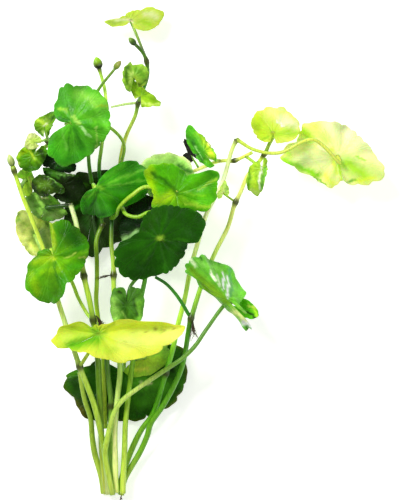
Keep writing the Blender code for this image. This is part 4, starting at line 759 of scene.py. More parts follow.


# Each stem: points of its centre line from the cut end up, its tones along that way, its
# radius at the tip and at the base, and where its knots are in the flat picture.
STEMS = {
    "left_long": dict(
        points=[
            (-34.8, -98.8, 7), (-35.4, -91.2, 6.9), (-36.5, -82, 7.6), (-38.6, -70, 12.2),
            (-40.6, -62, 14), (-43.2, -54.8, 15), (-46, -47.6, 15.8), (-49, -38.8, 16.5),
            (-54.8, -20.8, 17), (-58, -10, 15.5), (-60.8, 0, 15), (-66.4, 14.8, 17.5), (-69.2, 22, 19),
            (-73, 33.6, 20.5),
        ],
        tones=("#b8c279", "#a1be34", "#a1be3a", "#cee485", "#e5f76c", "#d3f04d", "#bcdf40"),
        tip_radius=0.75, knots=[(-46, -47), (-72.5, 32)],
    ),
    "left_short": dict(
        points=[
            (-37, -98.8, 1.4), (-38, -92, 1.5), (-40.6, -82.8, 2.2), (-41.6, -76, 4), (-42.2, -68, 7),
            (-44.4, -60.8, 9.3), (-45.7, -54.4, 10.8), (-46.4, -49.2, 11.6),
        ],
        tones=("#b1c74a", "#97b736", "#a0b742"), tip_radius=0.9,
    ),
    "thick": dict(
        points=[
            (-35.6, -98.8, 4.2), (-36.6, -92, 4.2), (-37.6, -82, 4.6), (-38, -70, 8.8),
            (-38.6, -56, 12.3), (-39.2, -41.6, 16.5), (-40, -32.8, 20.5), (-42, -20.8, 22.5),
            (-44.4, -10.4, 21.5), (-46, 0, 19), (-47.6, 10.4, 15.4), (-51.6, 22.4, 9.6), (-54, 28.8, 8.4),
            (-57.2, 40, 11.5), (-59.6, 44.4, 15.5),
        ],
        # The two palest tones, nearly white, are a painted highlight along its upper part
        tones=("#bac34d", "#809a1a", "#5f8612", "#709a1a", "#aecf38", "#cedf89", "#ebf3c4", "#bad389"),
        tip_radius=0.9, knots=[(-40.2, -27.5), (-44.4, -10.8), (-59.2, 43.6)],
    ),
    "short_middle": dict(
        points=[
            (-33.8, -98.8, 1.4), (-34.2, -91.2, 1.5), (-34.3, -82, 2.5), (-34, -70, 6.8),
            (-33.8, -62, 8.5), (-34.5, -54.8, 10), (-35.4, -44.8, 11.6), (-34.8, -38.4, 12),
        ],
        tones=("#9ac161", "#80ae3e", "#477320"), tip_radius=0.95, knots=[(-34.2, -62.5)],
    ),
    "curved_shoot": dict(
        points=[
            (-33.2, -98.8, 9.4), (-34.6, -92, 9.7), (-36.2, -82.4, 10.6), (-34.8, -73.6, 13.2),
            (-32.6, -65.6, 15.2), (-29.2, -60.4, 16.2), (-23.2, -55.6, 18.6), (-12, -48, 20.8),
            (-5.2, -43.4, 21.2), (0, -38.4, 21), (4.4, -32, 20.5), (11.1, -22.8, 18.5), (14.8, -20.4, 18),
        ],
        tones=("#aec449", "#aecc3d", "#bad859", "#bed46a", "#71a631", "#578e19", "#66a225"),
        tip_radius=0.8, knots=[(14.2, -20.6)],
    ),
    "pale_front": dict(
        points=[
            (-31.8, -98, 7), (-32.2, -91.2, 7.2), (-32.3, -82, 8.2), (-32.3, -72, 10.8),
            (-31.2, -59.2, 12.6), (-30.2, -50.4, 13.6), (-30.4, -42.8, 14.4), (-31.6, -30, 14.6),
            (-32.6, -16.8, 14.5), (-32.8, -6, 14), (-33.7, 3.2, 12.5), (-33.6, 13.6, 10.5),
            (-34.4, 20.8, 9), (-38, 26.4, 8.5), (-38.6, 34, 10.5), (-37.6, 41.6, 12.5), (-36, 54, 15),
            (-36, 63.2, 17), (-38.4, 72.8, 19),
        ],
        tones=(
            "#e6f784", "#f0f79d", "#c2e071", "#a2d349", "#d4f753", "#2b6612", "#227c12", "#d4f767",
            "#c2e953",
        ),
        tip_radius=0.65, knots=[(-32.8, -9.6), (-38.2, 72.4)],
    ),
    "middle_top": dict(
        points=[
            (-41.6, 26.8, 11.5), (-42.8, 37.6, 14), (-42, 54, 17), (-39.2, 63.2, 19.5), (-32, 72.4, 22.5),
        ],
        tones=("#518d0c", "#518d1c", "#759637"), tip_radius=0.6, base_radius=0.9,
    ),
    "green_tall": dict(
        points=[
            (-29.2, -98.4, 7), (-29, -91.2, 7), (-28.5, -82, 8), (-28.1, -70.8, 10.8), (-27.2, -62, 12.2),
            (-25.2, -46, 14), (-23.6, -32.8, 14.8), (-22, -21.2, 15), (-20, -11.2, 14.5),
            (-19.6, -4.8, 13.5), (-20.8, 4, 12), (-24, 14, 10.5), (-27.6, 24, 9.5), (-30.2, 33, 9.8),
            (-28.2, 44.4, 13), (-24.1, 53.6, 15.5), (-22.8, 58.8, 17), (-20.8, 64, 16.5), (-19, 70, 16.5),
            (-19.4, 75.6, 17), (-21, 79.2, 17.5), (-24, 82.4, 18),
        ],
        tones=(
            "#cbe152", "#adce3c", "#86b71c", "#5fa818", "#4c9513", "#25610f", "#f7f771", "#4c9518",
            "#395d0d",
        ),
        tip_radius=0.7, knots=[(-21.8, -23.2), (-22.8, 58.8), (-19.4, 76)],
    ),
    "right_green": dict(
        points=[
            (-30, -99.2, 4.2), (-28.2, -92, 4.2), (-22.4, -82, 4.6), (-19.4, -75.2, 7),
            (-17.7, -69.6, 9.3), (-13, -62.8, 11), (-8.2, -54, 12.3), (-4.7, -45, 13.7),
            (-2.2, -30, 15.8), (-0.7, -24.6, 16), (2.8, -13.6, 15.5), (8, -1.2, 14), (13.2, 9.2, 12.5),
            (15.8, 18, 12), (18.3, 23.2, 12.5), (21.2, 30, 13.5), (25.2, 34.8, 15), (28.4, 39.2, 16.5),
        ],
        tones=(
            "#a7bb3d", "#71aa1e", "#60a216", "#60a61a", "#37800b", "#b8ea3d", "#e5f77a", "#f6f789",
            "#eef75b",
        ),
        tip_radius=0.75, knots=[(-1.6, -27.2), (16.2, 19.6), (28, 38.4)],
    ),
    "pale_long": dict(
        points=[
            (-30.6, -98.8, 1.4), (-29.6, -92, 1.5), (-26.2, -82, 2.4), (-22, -73.2, 4.8),
            (-17.6, -67.2, 6.4), (-15.4, -62, 8), (-12.4, -51.6, 10.2), (-8.8, -39.2, 11.2),
            (-6.8, -29.8, 11.4), (-4.2, -19.8, 11.4), (-2, -8.4, 11), (0.6, 1.2, 10.5), (4.4, 14, 10),
            (11, 27.2, 11), (14.6, 39.6, 13), (16.8, 44.4, 14),
        ],
        tones=(
            "#aac746", "#91bf2f", "#5fae17", "#78d027", "#c3f642", "#d7f76d", "#f0f7ac", "#f7f7cb",
            "#e4f77d",
        ),
        tip_radius=0.8, knots=[(-11.8, -49.6), (16.6, 44)],
    ),
    "right_light": dict(
        points=[
            (-1.2, 31.6, 6), (3.6, 33.6, 7.5), (8.8, 35.6, 9), (12.6, 36.1, 9.5), (16, 36, 10.5),
            (23, 39.2, 13),
        ],
        tones=("#f7f793", "#f6f778", "#e8f766"), tip_radius=0.75, base_radius=0.75, knots=[(16, 36)],
    ),
    "behind_left": dict(
        points=[
            (-36.4, -72, 3.5), (-36.6, -62, 7.3), (-36.8, -52, 9), (-37.2, -38, 11.5), (-39, -27.2, 13.5),
            (-39.7, -20, 14.5), (-39.4, -12.8, 15), (-39.4, -4.8, 15), (-39.6, 4, 14), (-36.8, 11.2, 13),
        ],
        tones=("#c7dd49", "#b4d435", "#719c19"), tip_radius=0.85, base_radius=1.1, knots=[(-37.4, 10.2)],
    ),
    "runner": dict(
        points=[(-23.4, 59, 16.8), (-28, 58.4, 18), (-33.6, 57.2, 19.5)],
        tones=("#c0d884", "#c4dc88", "#d0e498"), tip_radius=0.45, base_radius=0.55,
    ),
    "side_shoot": dict(
        points=[
            (-1.7, -27.2, 16), (-3.2, -24.8, 16.2), (-5.4, -21, 16.6), (-8.6, -16.6, 17.2),
            (-12, -13.2, 17.8), (-16, -10.8, 18),
        ],
        tones=("#257312", "#39901b", "#2f7d17"), tip_radius=0.7, base_radius=0.8,
    ),
}

# Each leaf, with angles in degrees and the rest in millimetres or as shares of its radius.
# at is where the blade meets its stalk. The stalk goes from there through the points of via to the joint,
# a place in the flat picture, on the stem named by on.
# The blade's margin is drawn from above, or its spread gives it lying flat, or it is a kidney with a radius
# and a heading. tilt and lean, crease and fold, bend and cup shape it. Each of creases gives an angle from
# the tip, a height and a width in degrees.
# tones are the colours at the stalk and at the margin. Each of sides gives a direction, a colour and how
# much of it: a tint towards that side, partly the leaf's own colour and partly painted light and shade. rim
# gives a colour, how much of it and how wide. Each of streaks gives the two ends of a line, counted from at,
# its width, its colour and how much of it. Streaks paint the leaf's own veins and blotches, and also
# painted highlights and painted shade.
LEAVES = {
    "leaf_big_yellow": dict(
        at=(-38.4, -33.4, 24.5), heading=27, crease=-22, fold=((45, 81), (52, 52)), crease_width=0.1,
        on="left_long", joint=(-46, -47), via=[(-41, -38.5, 21.6), (-44.4, -44, 18.8)], stalk_drop=2.6,
        spread=[
            (-178.4, 14), (-137.5, 12.4), (-111.7, 12.5), (-95.8, 14.3), (-73, 20.8), (-58, 24.9),
            (-41, 28.8), (-30, 34.2), (-22, 34.9), (-8, 28), (3, 17.5), (17.6, 9.8), (47, 4.8), (69, 4),
            (103, 5.6), (123, 10.8), (144, 15.6), (161, 19.4), (172.8, 17.4), (178.4, 12.2),
        ],
        seed=1, tones=("#d5e73a", "#e0ef4e"), sides=[(180, "#c5dd30", 0.5)], rim=("#dee93f", 0.5, 0.1),
        creases=[(-60, 0.02, 12), (-90, -0.02, 10)], frill=0.01, scallops=13, skin="thin_blade",
        streaks=[
            (-10.8, -4.6, -0.4, -1.8, 2.6, "#70ba17", 0.98), (-2.8, 2.2, -0.4, 0.6, 1.4, "#87cd3a", 0.75),
            (0.4, -7, 6.8, -6.2, 1.6, "#aed935", 0.5), (10, -3.4, 30.8, -0.2, 3.2, "#ecf78e", 0.55),
            (-10, 1.4, -4.4, 2.2, 2.4, "#b2d126", 0.6), (-13.2, -4.2, 3.6, 1, 0.5, "#83aa17", 0.6),
            (19.2, 1, 19.6, 1, 0.6, "#a28a21", 0.9), (22.4, 1.8, 22.8, 1.4, 0.6, "#937e26", 0.9),
            (26, 1.4, 26.4, 1.4, 0.6, "#937626", 0.9), (29.2, 2.2, 29.6, 1.8, 0.5, "#a28626", 0.9),
            (20.4, -1.8, 20.8, -1.8, 0.5, "#ae9a35", 0.8), (13.2, 0.2, 13.6, 0.2, 0.5, "#ae9e35", 0.8),
            (27.6, 3.4, 29.2, 2.6, 0.4, "#a29e30", 0.6), (24.4, 1, 25.2, 0.2, 0.4, "#93ae26", 0.6),
            (10, -3, 10.8, -3.8, 0.4, "#b6c235", 0.6),
        ],
        stalk_tones=("#d4dc40", "#94b028"),
    ),
    "leaf_big_back": dict(
        at=(-28.4, -49.6, 5.6), tilt=5, lean=-90, cup=-0.04, on="short_middle", joint=(-34.9, -40),
        via=[(-28.8, -44.6, 2.4), (-30.8, -40.6, 6)], stalk_drop=3.2, stalk_lead=0.5,
        margin=[
            (-38, -44), (-42.8, -46.4), (-48, -48.4), (-53.2, -50.8), (-53.2, -55.2), (-48.8, -61.2),
            (-44.4, -68), (-38, -70), (-32, -69.2), (-26, -69.6), (-19.2, -68.4), (-14, -66),
            (-7.2, -60.8), (-4, -54), (-2.8, -46.8), (-4.4, -40), (-9.2, -37.6), (-16, -38), (-22, -40),
        ],
        seed=2, tones=("#286408", "#1f4a06"), rim=("#646215", 0.6, 0.05),
        creases=[(-60, 0.03, 12), (-20, -0.03, 10), (30, 0.03, 12), (70, -0.03, 12)], skin="dark_blade",
        scallops=13,
        # The pale yellow-white streak and the bright green streak right of the stalk are painted highlights
        streaks=[
            (-23.2, -0.8, -17.6, 0.8, 1.6, "#539c15", 0.8), (-23.2, -4.8, -20, -8.4, 2, "#428511", 0.5),
            (-19.2, -12, -15.2, -20, 1.2, "#735c15", 0.9),
            (-20.8, -8.4, -18.4, -13.6, 1.2, "#0e2803", 0.6),
            (4.8, -2.4, 14.4, -5.6, 3.6, "#60b627", 0.9), (7.2, -4.4, 10.4, -4, 0.6, "#f3f7b5", 0.9),
            (3.6, -0.8, 10.4, 0.4, 1.2, "#103105", 0.8), (6.4, -12.4, 14.4, -9.6, 2.8, "#3e7e11", 0.6),
            (2.4, -18, 10.4, -16.4, 1.2, "#1f5108", 0.7), (21.6, 0.8, 24, -6.4, 1.6, "#397e16", 0.7),
            (14.8, 0, 19.2, 1.2, 1, "#0c1f03", 0.9), (-20, -5.6, -14.4, -17.6, 3.2, "#153106", 0.8),
            (-8.8, -6.4, -4.8, -18.4, 2, "#1f4208", 0.6),
        ],
    ),
    "leaf_olive_under": dict(
        at=(-20.5, -43.2, 9.6), radius=12.5, heading=20, tilt=6, lean=20, aspect=0.6, underside_up=True,
        on="green_tall", joint=(-25, -44), stalk_drop=2.2, stalk_lead=0, seed=3,
        tones=("#bae414", "#90c510"), creases=[(20, 0.03, 14)], scallops=11,
        streaks=[
            (-4.7, -1.6, 0.9, 0, 2.4, "#caee17", 0.9), (3.3, 1.6, 8.9, 2.4, 2, "#67b517", 0.8),
            (9.7, 3.2, 15.3, 4.4, 1.6, "#366508", 0.9), (-4.7, -4.8, 0.9, -4.8, 0.9, "#f7f74d", 0.8),
            (8.5, 0, 14.5, 1.2, 1.2, "#529b0d", 0.7), (-8.7, 0.8, -7.1, -2.4, 1.2, "#52960a", 0.7),
        ],
    ),
    "leaf_dark_front": dict(
        at=(-14, 4.8, 34), tilt=25, lean=-63, cup=-0.06, on="pale_front", joint=(-34.2, 19),
        via=[
            (-14.8, 10, 27.5), (-17.6, 15, 24), (-22.8, 13.2, 22.6), (-27.4, 14.2, 21), (-29.6, 17.4, 18),
            (-32.4, 18.6, 13.4),
        ],
        stalk_drop=4, stalk_lead=0, stalk_radius=0.9,
        margin=[
            (-2.4, 2.6), (1.2, 3), (2.8, 5.6), (4.4, 10.4), (3.6, 13.6), (-0.4, 16), (-5.2, 16.8),
            (-10, 18), (-14.8, 17.2), (-19.2, 14.8), (-20.8, 11.6), (-22, 7.2), (-25.6, 4.4), (-30, 2.8),
            (-32, -0.4), (-31.6, -6.8), (-28.4, -11.2), (-23.6, -12.4), (-18.8, -11.2), (-14, -9.6),
            (-7.6, -6.8), (-5, -4), (-3.4, -1), (-2.7, 1.2), (-2.5, 2.5),
        ],
        seed=4, tones=("#1e5901", "#194f01"), rim=("#2c7804", 0.5, 0.05), sides=[(100, "#246802", 0.6)],
        creases=[(-40, -0.02, 12), (30, 0.02, 14), (80, -0.02, 12), (-90, 0.02, 14)], skin="dark_blade",
        scallops=17,
        streaks=[
            (-4, 4.8, -1.6, 9.6, 2.4, "#2a5f0a", 0.6), (3.2, 9.6, 14.4, 6.4, 2.4, "#1a4d01", 0.5),
            (0, 0, 0.4, 0, 1, "#a4d338", 0.85), (1.6, -0.4, 11.2, -0.8, 0.6, "#307408", 0.7),
            (-0.8, -1.2, -7.2, -10.4, 0.6, "#2c7004", 0.6), (0.4, -1.6, 2.4, -13.6, 0.6, "#286804", 0.6),
            (-1.6, 0.8, -8, 3.2, 0.6, "#2c7005", 0.5), (0.4, 2, 3.2, 10.4, 0.6, "#2c7004", 0.5),
            (-15.2, -4.8, -4, -2.8, 1.6, "#225f03", 0.5), (-11.2, -14, 0.8, -14.8, 1.6, "#113c01", 0.6),
            (7.2, -5.6, 12, -2.4, 1.2, "#0f3801", 0.5),
        ],
        stalk_tones=("#a4d430", "#98c828"),
    ),
    "leaf_bright_front": dict(
        at=(-7.6, 22.4, 29.5), fold=(30, 22), crease=47, crease_width=0.2, tilt=12, lean=60,
        on="pale_front", joint=(-33.6, 12.5), stalk_radius=0.9, stalk_drop=3.5,
        via=[(-18.6, 25.2, 26.6), (-25.4, 21.6, 26), (-30, 17.4, 22.4), (-31.6, 14, 16.5)],
        margin=[
            (-6.6, 14.6), (-3, 15), (0.4, 15.4), (4.4, 15.2), (6.8, 16.8), (8.8, 21.6), (8.8, 25.2),
            (10.4, 28.8), (9.2, 31.2), (6, 32), (1.2, 30.4), (-3.2, 29.6), (-6.4, 32.8), (-10, 34.8),
            (-14, 34.4), (-18.8, 33.6), (-20.4, 31.6), (-19.6, 28), (-17.6, 24.4), (-16.4, 20.4),
            (-17.2, 16.8), (-12.8, 15.8), (-9.8, 15), (-7.8, 14.6), (-6.7, 14.55),
        ],
        seed=5, tones=("#56ad02", "#49a602"), rim=("#7fcc10", 0.4, 0.06),
        creases=[(47, -0.06, 9), (20, 0.03, 10), (-30, -0.04, 9), (-62, 0.04, 12), (85, 0.04, 14)],
        scallops=15,
        # The two dark streaks that run from the upper left down to the stalk are painted shade in a valley
        # of the blade
        streaks=[
            (-11.2, 10.4, -9.2, -1.6, 2, "#9ed006", 0.9), (-8.8, 12.4, -2.4, 13.2, 1.2, "#87c805", 0.8),
            (-9.2, 8, -4, 4.8, 0.8, "#2a6801", 0.85), (-4, 4.8, 0.4, 0.4, 1.1, "#2a6c01", 0.9),
            (-7.2, -3.2, -2.4, -1.2, 2, "#aad810", 0.85), (0, -4.4, 3.2, -2.4, 1.2, "#87c80e", 0.6),
            (8, 0, 12, -4, 2.8, "#58b510", 0.7), (12.8, 8.8, 16.4, 6.4, 2, "#2d7b03", 0.9),
            (10.4, 5.6, 12.8, 7.2, 0.8, "#459203", 0.6), (9.6, 2, 16, 5.6, 0.6, "#a2d435", 0.8),
            (13.6, 2.4, 15.6, -2.4, 1.2, "#3d8e06", 0.8), (4, -4, 13.6, -5.6, 0.8, "#a2d431", 0.8),
            (0.8, -0.8, 8.8, -4.4, 0.6, "#83c81c", 0.6), (2, 0.8, 11.2, -1.2, 0.5, "#83c81e", 0.6),
            (2.4, 8.8, 4.8, 6.8, 0.8, "#398b02", 0.6),
        ],
        stalk_tones=("#c4e048", "#9ccc30"),
    ),
    "leaf_big_middle": dict(
        at=(-39.6, 24.8, 27), fold=(-28, -50), crease=42, crease_width=0.15, tilt=10, lean=0,
        on="behind_left", joint=(-37.4, 10.2), stalk_lead=0.3, via=[(-38, 17, 17)],
        margin=[
            (-42.8, 23.4), (-44.8, 21.2), (-46, 17.2), (-44.8, 14.4), (-41.2, 12.8), (-37.2, 12.8),
            (-32.8, 15.2), (-29.2, 17.6), (-24.8, 18.8), (-20, 20.8), (-17.2, 24.8), (-17.2, 30),
            (-19.6, 34.4), (-22.8, 36.4), (-27.6, 35.6), (-32, 33.6), (-35.6, 30.8), (-38, 28.4),
        ],
        seed=6, tones=("#399908", "#2a8704"), rim=("#53b317", 0.4, 0.06),
        creases=[
            (38, -0.05, 9), (58, 0.03, 8), (80, -0.03, 8), (-10, 0.04, 12), (-50, -0.04, 12),
            (-75, 0.02, 10),
        ],
        scallops=12,
        streaks=[
            (0.8, 0.4, 2.4, 0, 0.7, "#90cf32", 0.7), (4.8, 1.6, 18.4, 7.2, 0.7, "#6dbf2c", 0.7),
            (4.8, 0.4, 20, 3.2, 0.5, "#72c335", 0.65), (4, 4, 11.2, 9.6, 1, "#4fab17", 0.7),
            (3.2, 6.4, 6.4, 8.8, 1.2, "#1f7105", 0.6), (6.4, -0.8, 20, 0.4, 0.9, "#358f11", 0.6),
            (-4, -6.4, -4.8, -12.8, 1.8, "#1f6305", 0.85), (0.4, -2.8, 5.6, -3.2, 1.4, "#53af1a", 0.75),
            (-1.6, -8, 4.8, -7.2, 1.4, "#42a713", 0.7), (1.2, -1.2, -2, -7.6, 0.6, "#164b03", 0.75),
            (-2.4, -11.6, 3.2, -10.4, 0.7, "#114304", 0.7), (12, 6.8, 20, 9.2, 0.9, "#318b0a", 0.6),
            (0, -1.6, -4, -4, 0.6, "#69b329", 0.6), (8.8, 0.8, 17.6, 0.8, 0.5, "#237706", 0.6),
        ],
        stalk_tones=("#b4dc44", "#3c7c18"),
    ),
    "leaf_behind_middle": dict(
        at=(-11.6, 30, 17), radius=11.5, heading=90, tilt=15, lean=90, on="green_tall", joint=(-25.4, 18),
        via=[(-13.5, 17.5, 15), (-20, 14.2, 15), (-24.6, 14, 14.5)], cup=-0.1, seed=7,
        tones=("#6ab42f", "#9bd05e"), rim=("#d9f0a0", 0.9, 0.16), frill=0.05, scallops=11,
        streaks=[(-8.4, 6.8, 0.8, 7.2, 1.2, "#bce475", 0.5), (4.8, 3.6, 10.4, 1.2, 1.2, "#1d640f", 0.9)],
        stalk_tones=("#a4cc50", "#7cac34"),
    ),
    # Near-black tones are painted shade deep in the bunch; the pale green-white streak is a painted
    # highlight, and the blackish streak is painted shade in a gap.
    "leaf_dark_inner": dict(
        at=(-19, 9, 16.8), radius=13.5, heading=160, tilt=12, lean=200, on="green_tall",
        joint=(-19.7, -4), via=[(-16.5, 3, 12.8)], cup=-0.08, stalk_drop=3.4, seed=8,
        tones=("#0c2c03", "#092203"), skin="dark_blade", creases=[(-70, 0.05, 12), (-20, -0.04, 10)],
        scallops=12,
        streaks=[
            (-9.4, -4.6, -4.2, -1.8, 1.1, "#9acc79", 0.95), (-7.8, 2.2, -3, 4.6, 1.6, "#1a4018", 0.5),
            (-7, 9, 0.2, 11.8, 2, "#161602", 0.6),
        ],
        stalk_tones=("#24400f", "#2c5c14"),
    ),
    # Near-black tones: painted shade between the leaves at the upper left
    "leaf_dark_left_inner": dict(
        at=(-55.2, 36.4, 16.4), on="thick", joint=(-56, 36), stalk_drop=1.2, stalk_lead=0,
        stalk_radius=0.6,
        margin=[
            (-58, 40.4), (-59.2, 38.8), (-60.4, 36.8), (-61.8, 34.8), (-60.8, 33.6), (-58.4, 33),
            (-55.6, 32), (-52.8, 31.2), (-50, 30.8), (-48, 31.8), (-47.4, 34), (-48.8, 36.8),
            (-51.6, 38.8), (-54.4, 40.4),
        ],
        seed=9, tones=("#0a2604", "#071c03"), skin="dark_blade", rumple=0.04, scallops=11,
        streaks=[(-0.4, -2.8, 5.2, -3.6, 0.8, "#1c540c", 0.7)],
    ),
    "leaf_left_low": dict(
        at=(-56.4, -2.4, 27), fold=(-16, -36), crease_width=0.25, tilt=8, lean=110, on="thick",
        joint=(-40.2, -27.5), via=[(-50, -11.6, 17), (-46.8, -19.2, 17), (-43.2, -25.6, 18)],
        margin=[
            (-57.6, 0), (-60, 0.4), (-63.6, -2.4), (-66.8, -6.4), (-67.6, -10.4), (-66.4, -16),
            (-63.6, -19.6), (-58.8, -22), (-54, -20.4), (-52, -17.2), (-51.2, -14.4), (-47.2, -10.4),
            (-43.6, -4.8), (-42, 1.2), (-44.4, 6.8), (-48.8, 10.8), (-53.2, 12.4), (-56.8, 10.8),
            (-58.2, 11.2),
        ],
        seed=10, tones=("#61a303", "#468e02"), rim=("#549f08", 0.3, 0.05),
        creases=[
            (90, 0.05, 9), (118, -0.05, 12), (66, -0.05, 9), (-57, 0.05, 13), (-20, -0.05, 11),
            (12, 0.04, 12), (-110, -0.04, 12), (172, 0.02, 7),
        ],
        scallops=13,
        # The two thin pale yellow-green streaks right of the stalk, 0.3 mm wide, are painted highlights
        streaks=[
            (1.2, 9.6, 2.8, 4, 1.2, "#4a9c0a", 0.85), (-0.8, 12, 0.4, 3.2, 0.8, "#a0c21c", 0.95),
            (-2.4, 14, 0, 13.2, 0.6, "#c1d555", 0.95), (5.6, 9.6, 12, 2.4, 3.6, "#226701", 0.95),
            (2.4, 12, 7.2, 12.4, 1.4, "#2f7a02", 0.7), (4.8, -0.8, 9.2, 1.6, 0.3, "#bad655", 0.8),
            (10.4, -0.8, 13.6, 0, 0.3, "#bad355", 0.8), (1.6, -3.2, 15.2, 2.4, 0.9, "#6eb40a", 0.8),
            (3.2, 0, 12, 4.4, 0.7, "#2f7d02", 0.6), (-7.2, -2.4, -1.6, -0.8, 1.6, "#8fbb0e", 0.85),
            (-8.8, -7.6, -6.4, -14.4, 1.6, "#7eb105", 0.8), (-4, -6.4, 2.4, -4.8, 1.4, "#82bb06", 0.7),
            (4, -9.6, 5.6, -16.8, 2, "#2f8702", 0.85), (-2.4, -13.6, 0, -17.6, 1.6, "#469502", 0.7),
            (0.4, -2.4, 2.4, -12, 0.6, "#2f7602", 0.7), (-4.8, -9.6, -1.6, -4.8, 0.6, "#468b02", 0.6),
            (6.4, -4.8, 14.4, -2.4, 1.4, "#399202", 0.7), (-0.8, -0.4, 0.4, -1.2, 0.8, "#b3cf20", 0.9),
        ],
        stalk_tones=("#d0e850", "#b4d840"),
    ),
    "leaf_upper_left": dict(
        at=(-48.6, 50.6, 33), fold=(-30, -14), crease_width=0.35, bend=-35, tilt=18, lean=198,
        on="green_tall", joint=(-30.2, 33), via=[(-40, 51, 24), (-33.2, 48.4, 19), (-28.4, 42, 18.6)],
        margin=[
            (-53.2, 48.4), (-56, 46.8), (-58, 44.8), (-58.4, 41.6), (-57.6, 38), (-55.6, 34.8),
            (-52.8, 32.8), (-48.8, 33.6), (-43.2, 36.8), (-38, 40.8), (-34.8, 44.8), (-33.6, 49.2),
            (-33.6, 55.2), (-35.2, 59.6), (-38, 62.4), (-42, 64.8), (-46, 66), (-51.2, 66.4), (-54, 64.4),
            (-55.2, 60), (-56, 55.6), (-54.8, 52), (-52.4, 50.6),
        ],
        seed=11, tones=("#52ae18", "#419e14"), rim=("#74c230", 0.3, 0.05),
        creases=[
            (-76, 0.04, 8), (-48, -0.06, 13), (-22, 0.05, 10), (8, -0.03, 11), (38, 0.05, 14),
            (75, -0.04, 14), (-112, -0.04, 13), (-140, 0.03, 10),
        ],
        scallops=13,
        streaks=[
            (1.8, 11.4, 12.2, 7.4, 2.8, "#7cc638", 0.75), (4.2, 11.4, 9.8, 6.2, 1, "#96d64c", 0.5),
            (-5.4, 12.6, -2.2, 6.2, 1.8, "#41951c", 0.9), (-1.4, 12.6, 0.2, 6.2, 1, "#459e1c", 0.6),
            (-5.4, 5.4, -2.2, 4.6, 0.7, "#9ace38", 0.8), (-5.4, 1.4, -1.4, 1, 1, "#1f6b08", 0.85),
            (3.4, -1.8, 7, -5.8, 0.3, "#bcee98", 0.85), (1, -2.2, 3.8, -10.6, 1.4, "#1f6b08", 0.8),
            (4.2, -0.2, 9.4, -3, 0.9, "#308710", 0.7), (-3.8, -2.6, -2.6, -10.6, 0.5, "#78c248", 0.6),
            (-1, -1.8, -1.8, -14.6, 0.4, "#1f6b08", 0.6), (8.2, -4.6, 12.2, -7.4, 2, "#63be24", 0.7),
            (9.8, -1.8, 9.4, -10.6, 0.3, "#abda60", 0.7), (-8.6, -9, -6.2, -14.6, 2, "#339312", 0.7),
            (-3, -15, 4.2, -13, 1.6, "#29870a", 0.7), (9.8, 3.8, 13.8, -1.8, 1.8, "#70ca30", 0.6),
            (1, 4.6, 9, 0.6, 1, "#67ba24", 0.6), (10.2, 6.2, 14.2, 6.6, 0.4, "#92b21c", 0.7),
            (0.2, 2.2, 2.6, -0.2, 0.6, "#b4de60", 0.7), (-7.8, -5.8, -3, -3.4, 0.8, "#49a620", 0.6),
        ],
        stalk_tones=("#94c43c", "#a8cc40"),
    ),
    "leaf_small_hanging": dict(
        at=(-27.2, -22, 22.4), radius=12.5, heading=-90, fold=(-30, -30), aspect=0.62, tilt=14, lean=-90,
        on="green_tall", joint=(-19.8, -7.5), via=[(-25.5, -14, 20)], stalk_drop=2.5, stalk_lead=0.5,
        dents=[(150, 0.25, 25), (-150, 0.25, 25)], cut=6, seed=12, tones=("#447b1c", "#4f8d21"),
        creases=[(0, -0.06, 14), (50, 0.03, 12), (-50, 0.03, 12)], scallops=11,
        streaks=[
            (-5.6, 2, -4.4, -8.4, 1.8, "#98d157", 0.95), (-1.2, 2.8, -0.4, -6.8, 1.2, "#2a5710", 0.9),
            (1.2, 3.6, 2, -4, 1.2, "#488421", 0.7), (4.4, 0.8, 4.8, -8.4, 1.2, "#87cd3e", 0.85),
            (-2, -2.8, -0.4, -5.2, 0.6, "#8db652", 0.7), (2.8, 2, 3.6, -4.4, 0.6, "#224e10", 0.7),
            (-3.6, 5.6, -2.4, 4.8, 0.7, "#141b07", 0.9),
        ],
        stalk_tones=("#3c6c1c", "#5c8c2c"),
    ),
    "leaf_right_folded": dict(
        at=(12.4, -19.2, 28), radius=25, heading=136, fold=(-78, (-76, -48)), crease_width=0.1, tilt=4,
        aspect=(0.32, 0.6), lean=316, on="curved_shoot", joint=(14, -21), stalk_drop=3, stalk_lead=-0.2,
        cut=8, corner=12, dents=[(150, 0.2, 22), (-140, 0.7, 40)], seed=13, tones=("#72c532", "#62b82c"),
        rim=("#82ca5c", 0.4, 0.06), creases=[(-25, 0.04, 9), (-50, -0.04, 9), (-75, 0.04, 10)],
        frill=0.02, scallops=13,
        # The white and near-white streaks are painted highlights along the ribs
        streaks=[
            (-16.8, 15.2, -14.4, 13.6, 1.6, "#4ca220", 0.8),
            (-14.4, 16, -12.4, 12.4, 0.5, "#dff6bd", 0.9),
            (-10.8, 16.8, -9.6, 15.2, 0.6, "#205b0b", 0.95), (-4.4, 15.6, -2.8, 14, 0.6, "#266c13", 0.9),
            (-1.6, 10, -0.8, 3.6, 0.4, "#f7f7f7", 0.95), (0.4, 8.8, 0.8, 0.4, 0.5, "#f7f7f7", 0.85),
            (-6, 10.4, -4, 6.8, 0.4, "#f5f7dc", 0.9), (-3.6, 9.2, -2.4, 5.2, 0.4, "#e5f7ca", 0.85),
            (1.6, 13.6, 2, 1.2, 0.6, "#519d56", 0.8), (-13.6, 11.2, 0.8, -2, 1.4, "#6da219", 0.95),
            (-8, 4.8, -4, 1.6, 1.6, "#82b820", 0.8), (1.6, -3.2, 5.6, -3.2, 0.8, "#88d338", 0.8),
            (3.2, -5.2, 8.8, -8.8, 1.4, "#e5ed93", 0.9), (6.8, -9.6, 12, -11.2, 1.2, "#f7f7f7", 0.9),
            (8, -12, 10.4, -13.6, 0.8, "#2b6813", 0.9), (-12, 14.4, -1.6, 11.2, 1, "#93dc5c", 0.5),
            (-8.8, 12, -4.8, 5.6, 0.6, "#57af2c", 0.5),
        ],
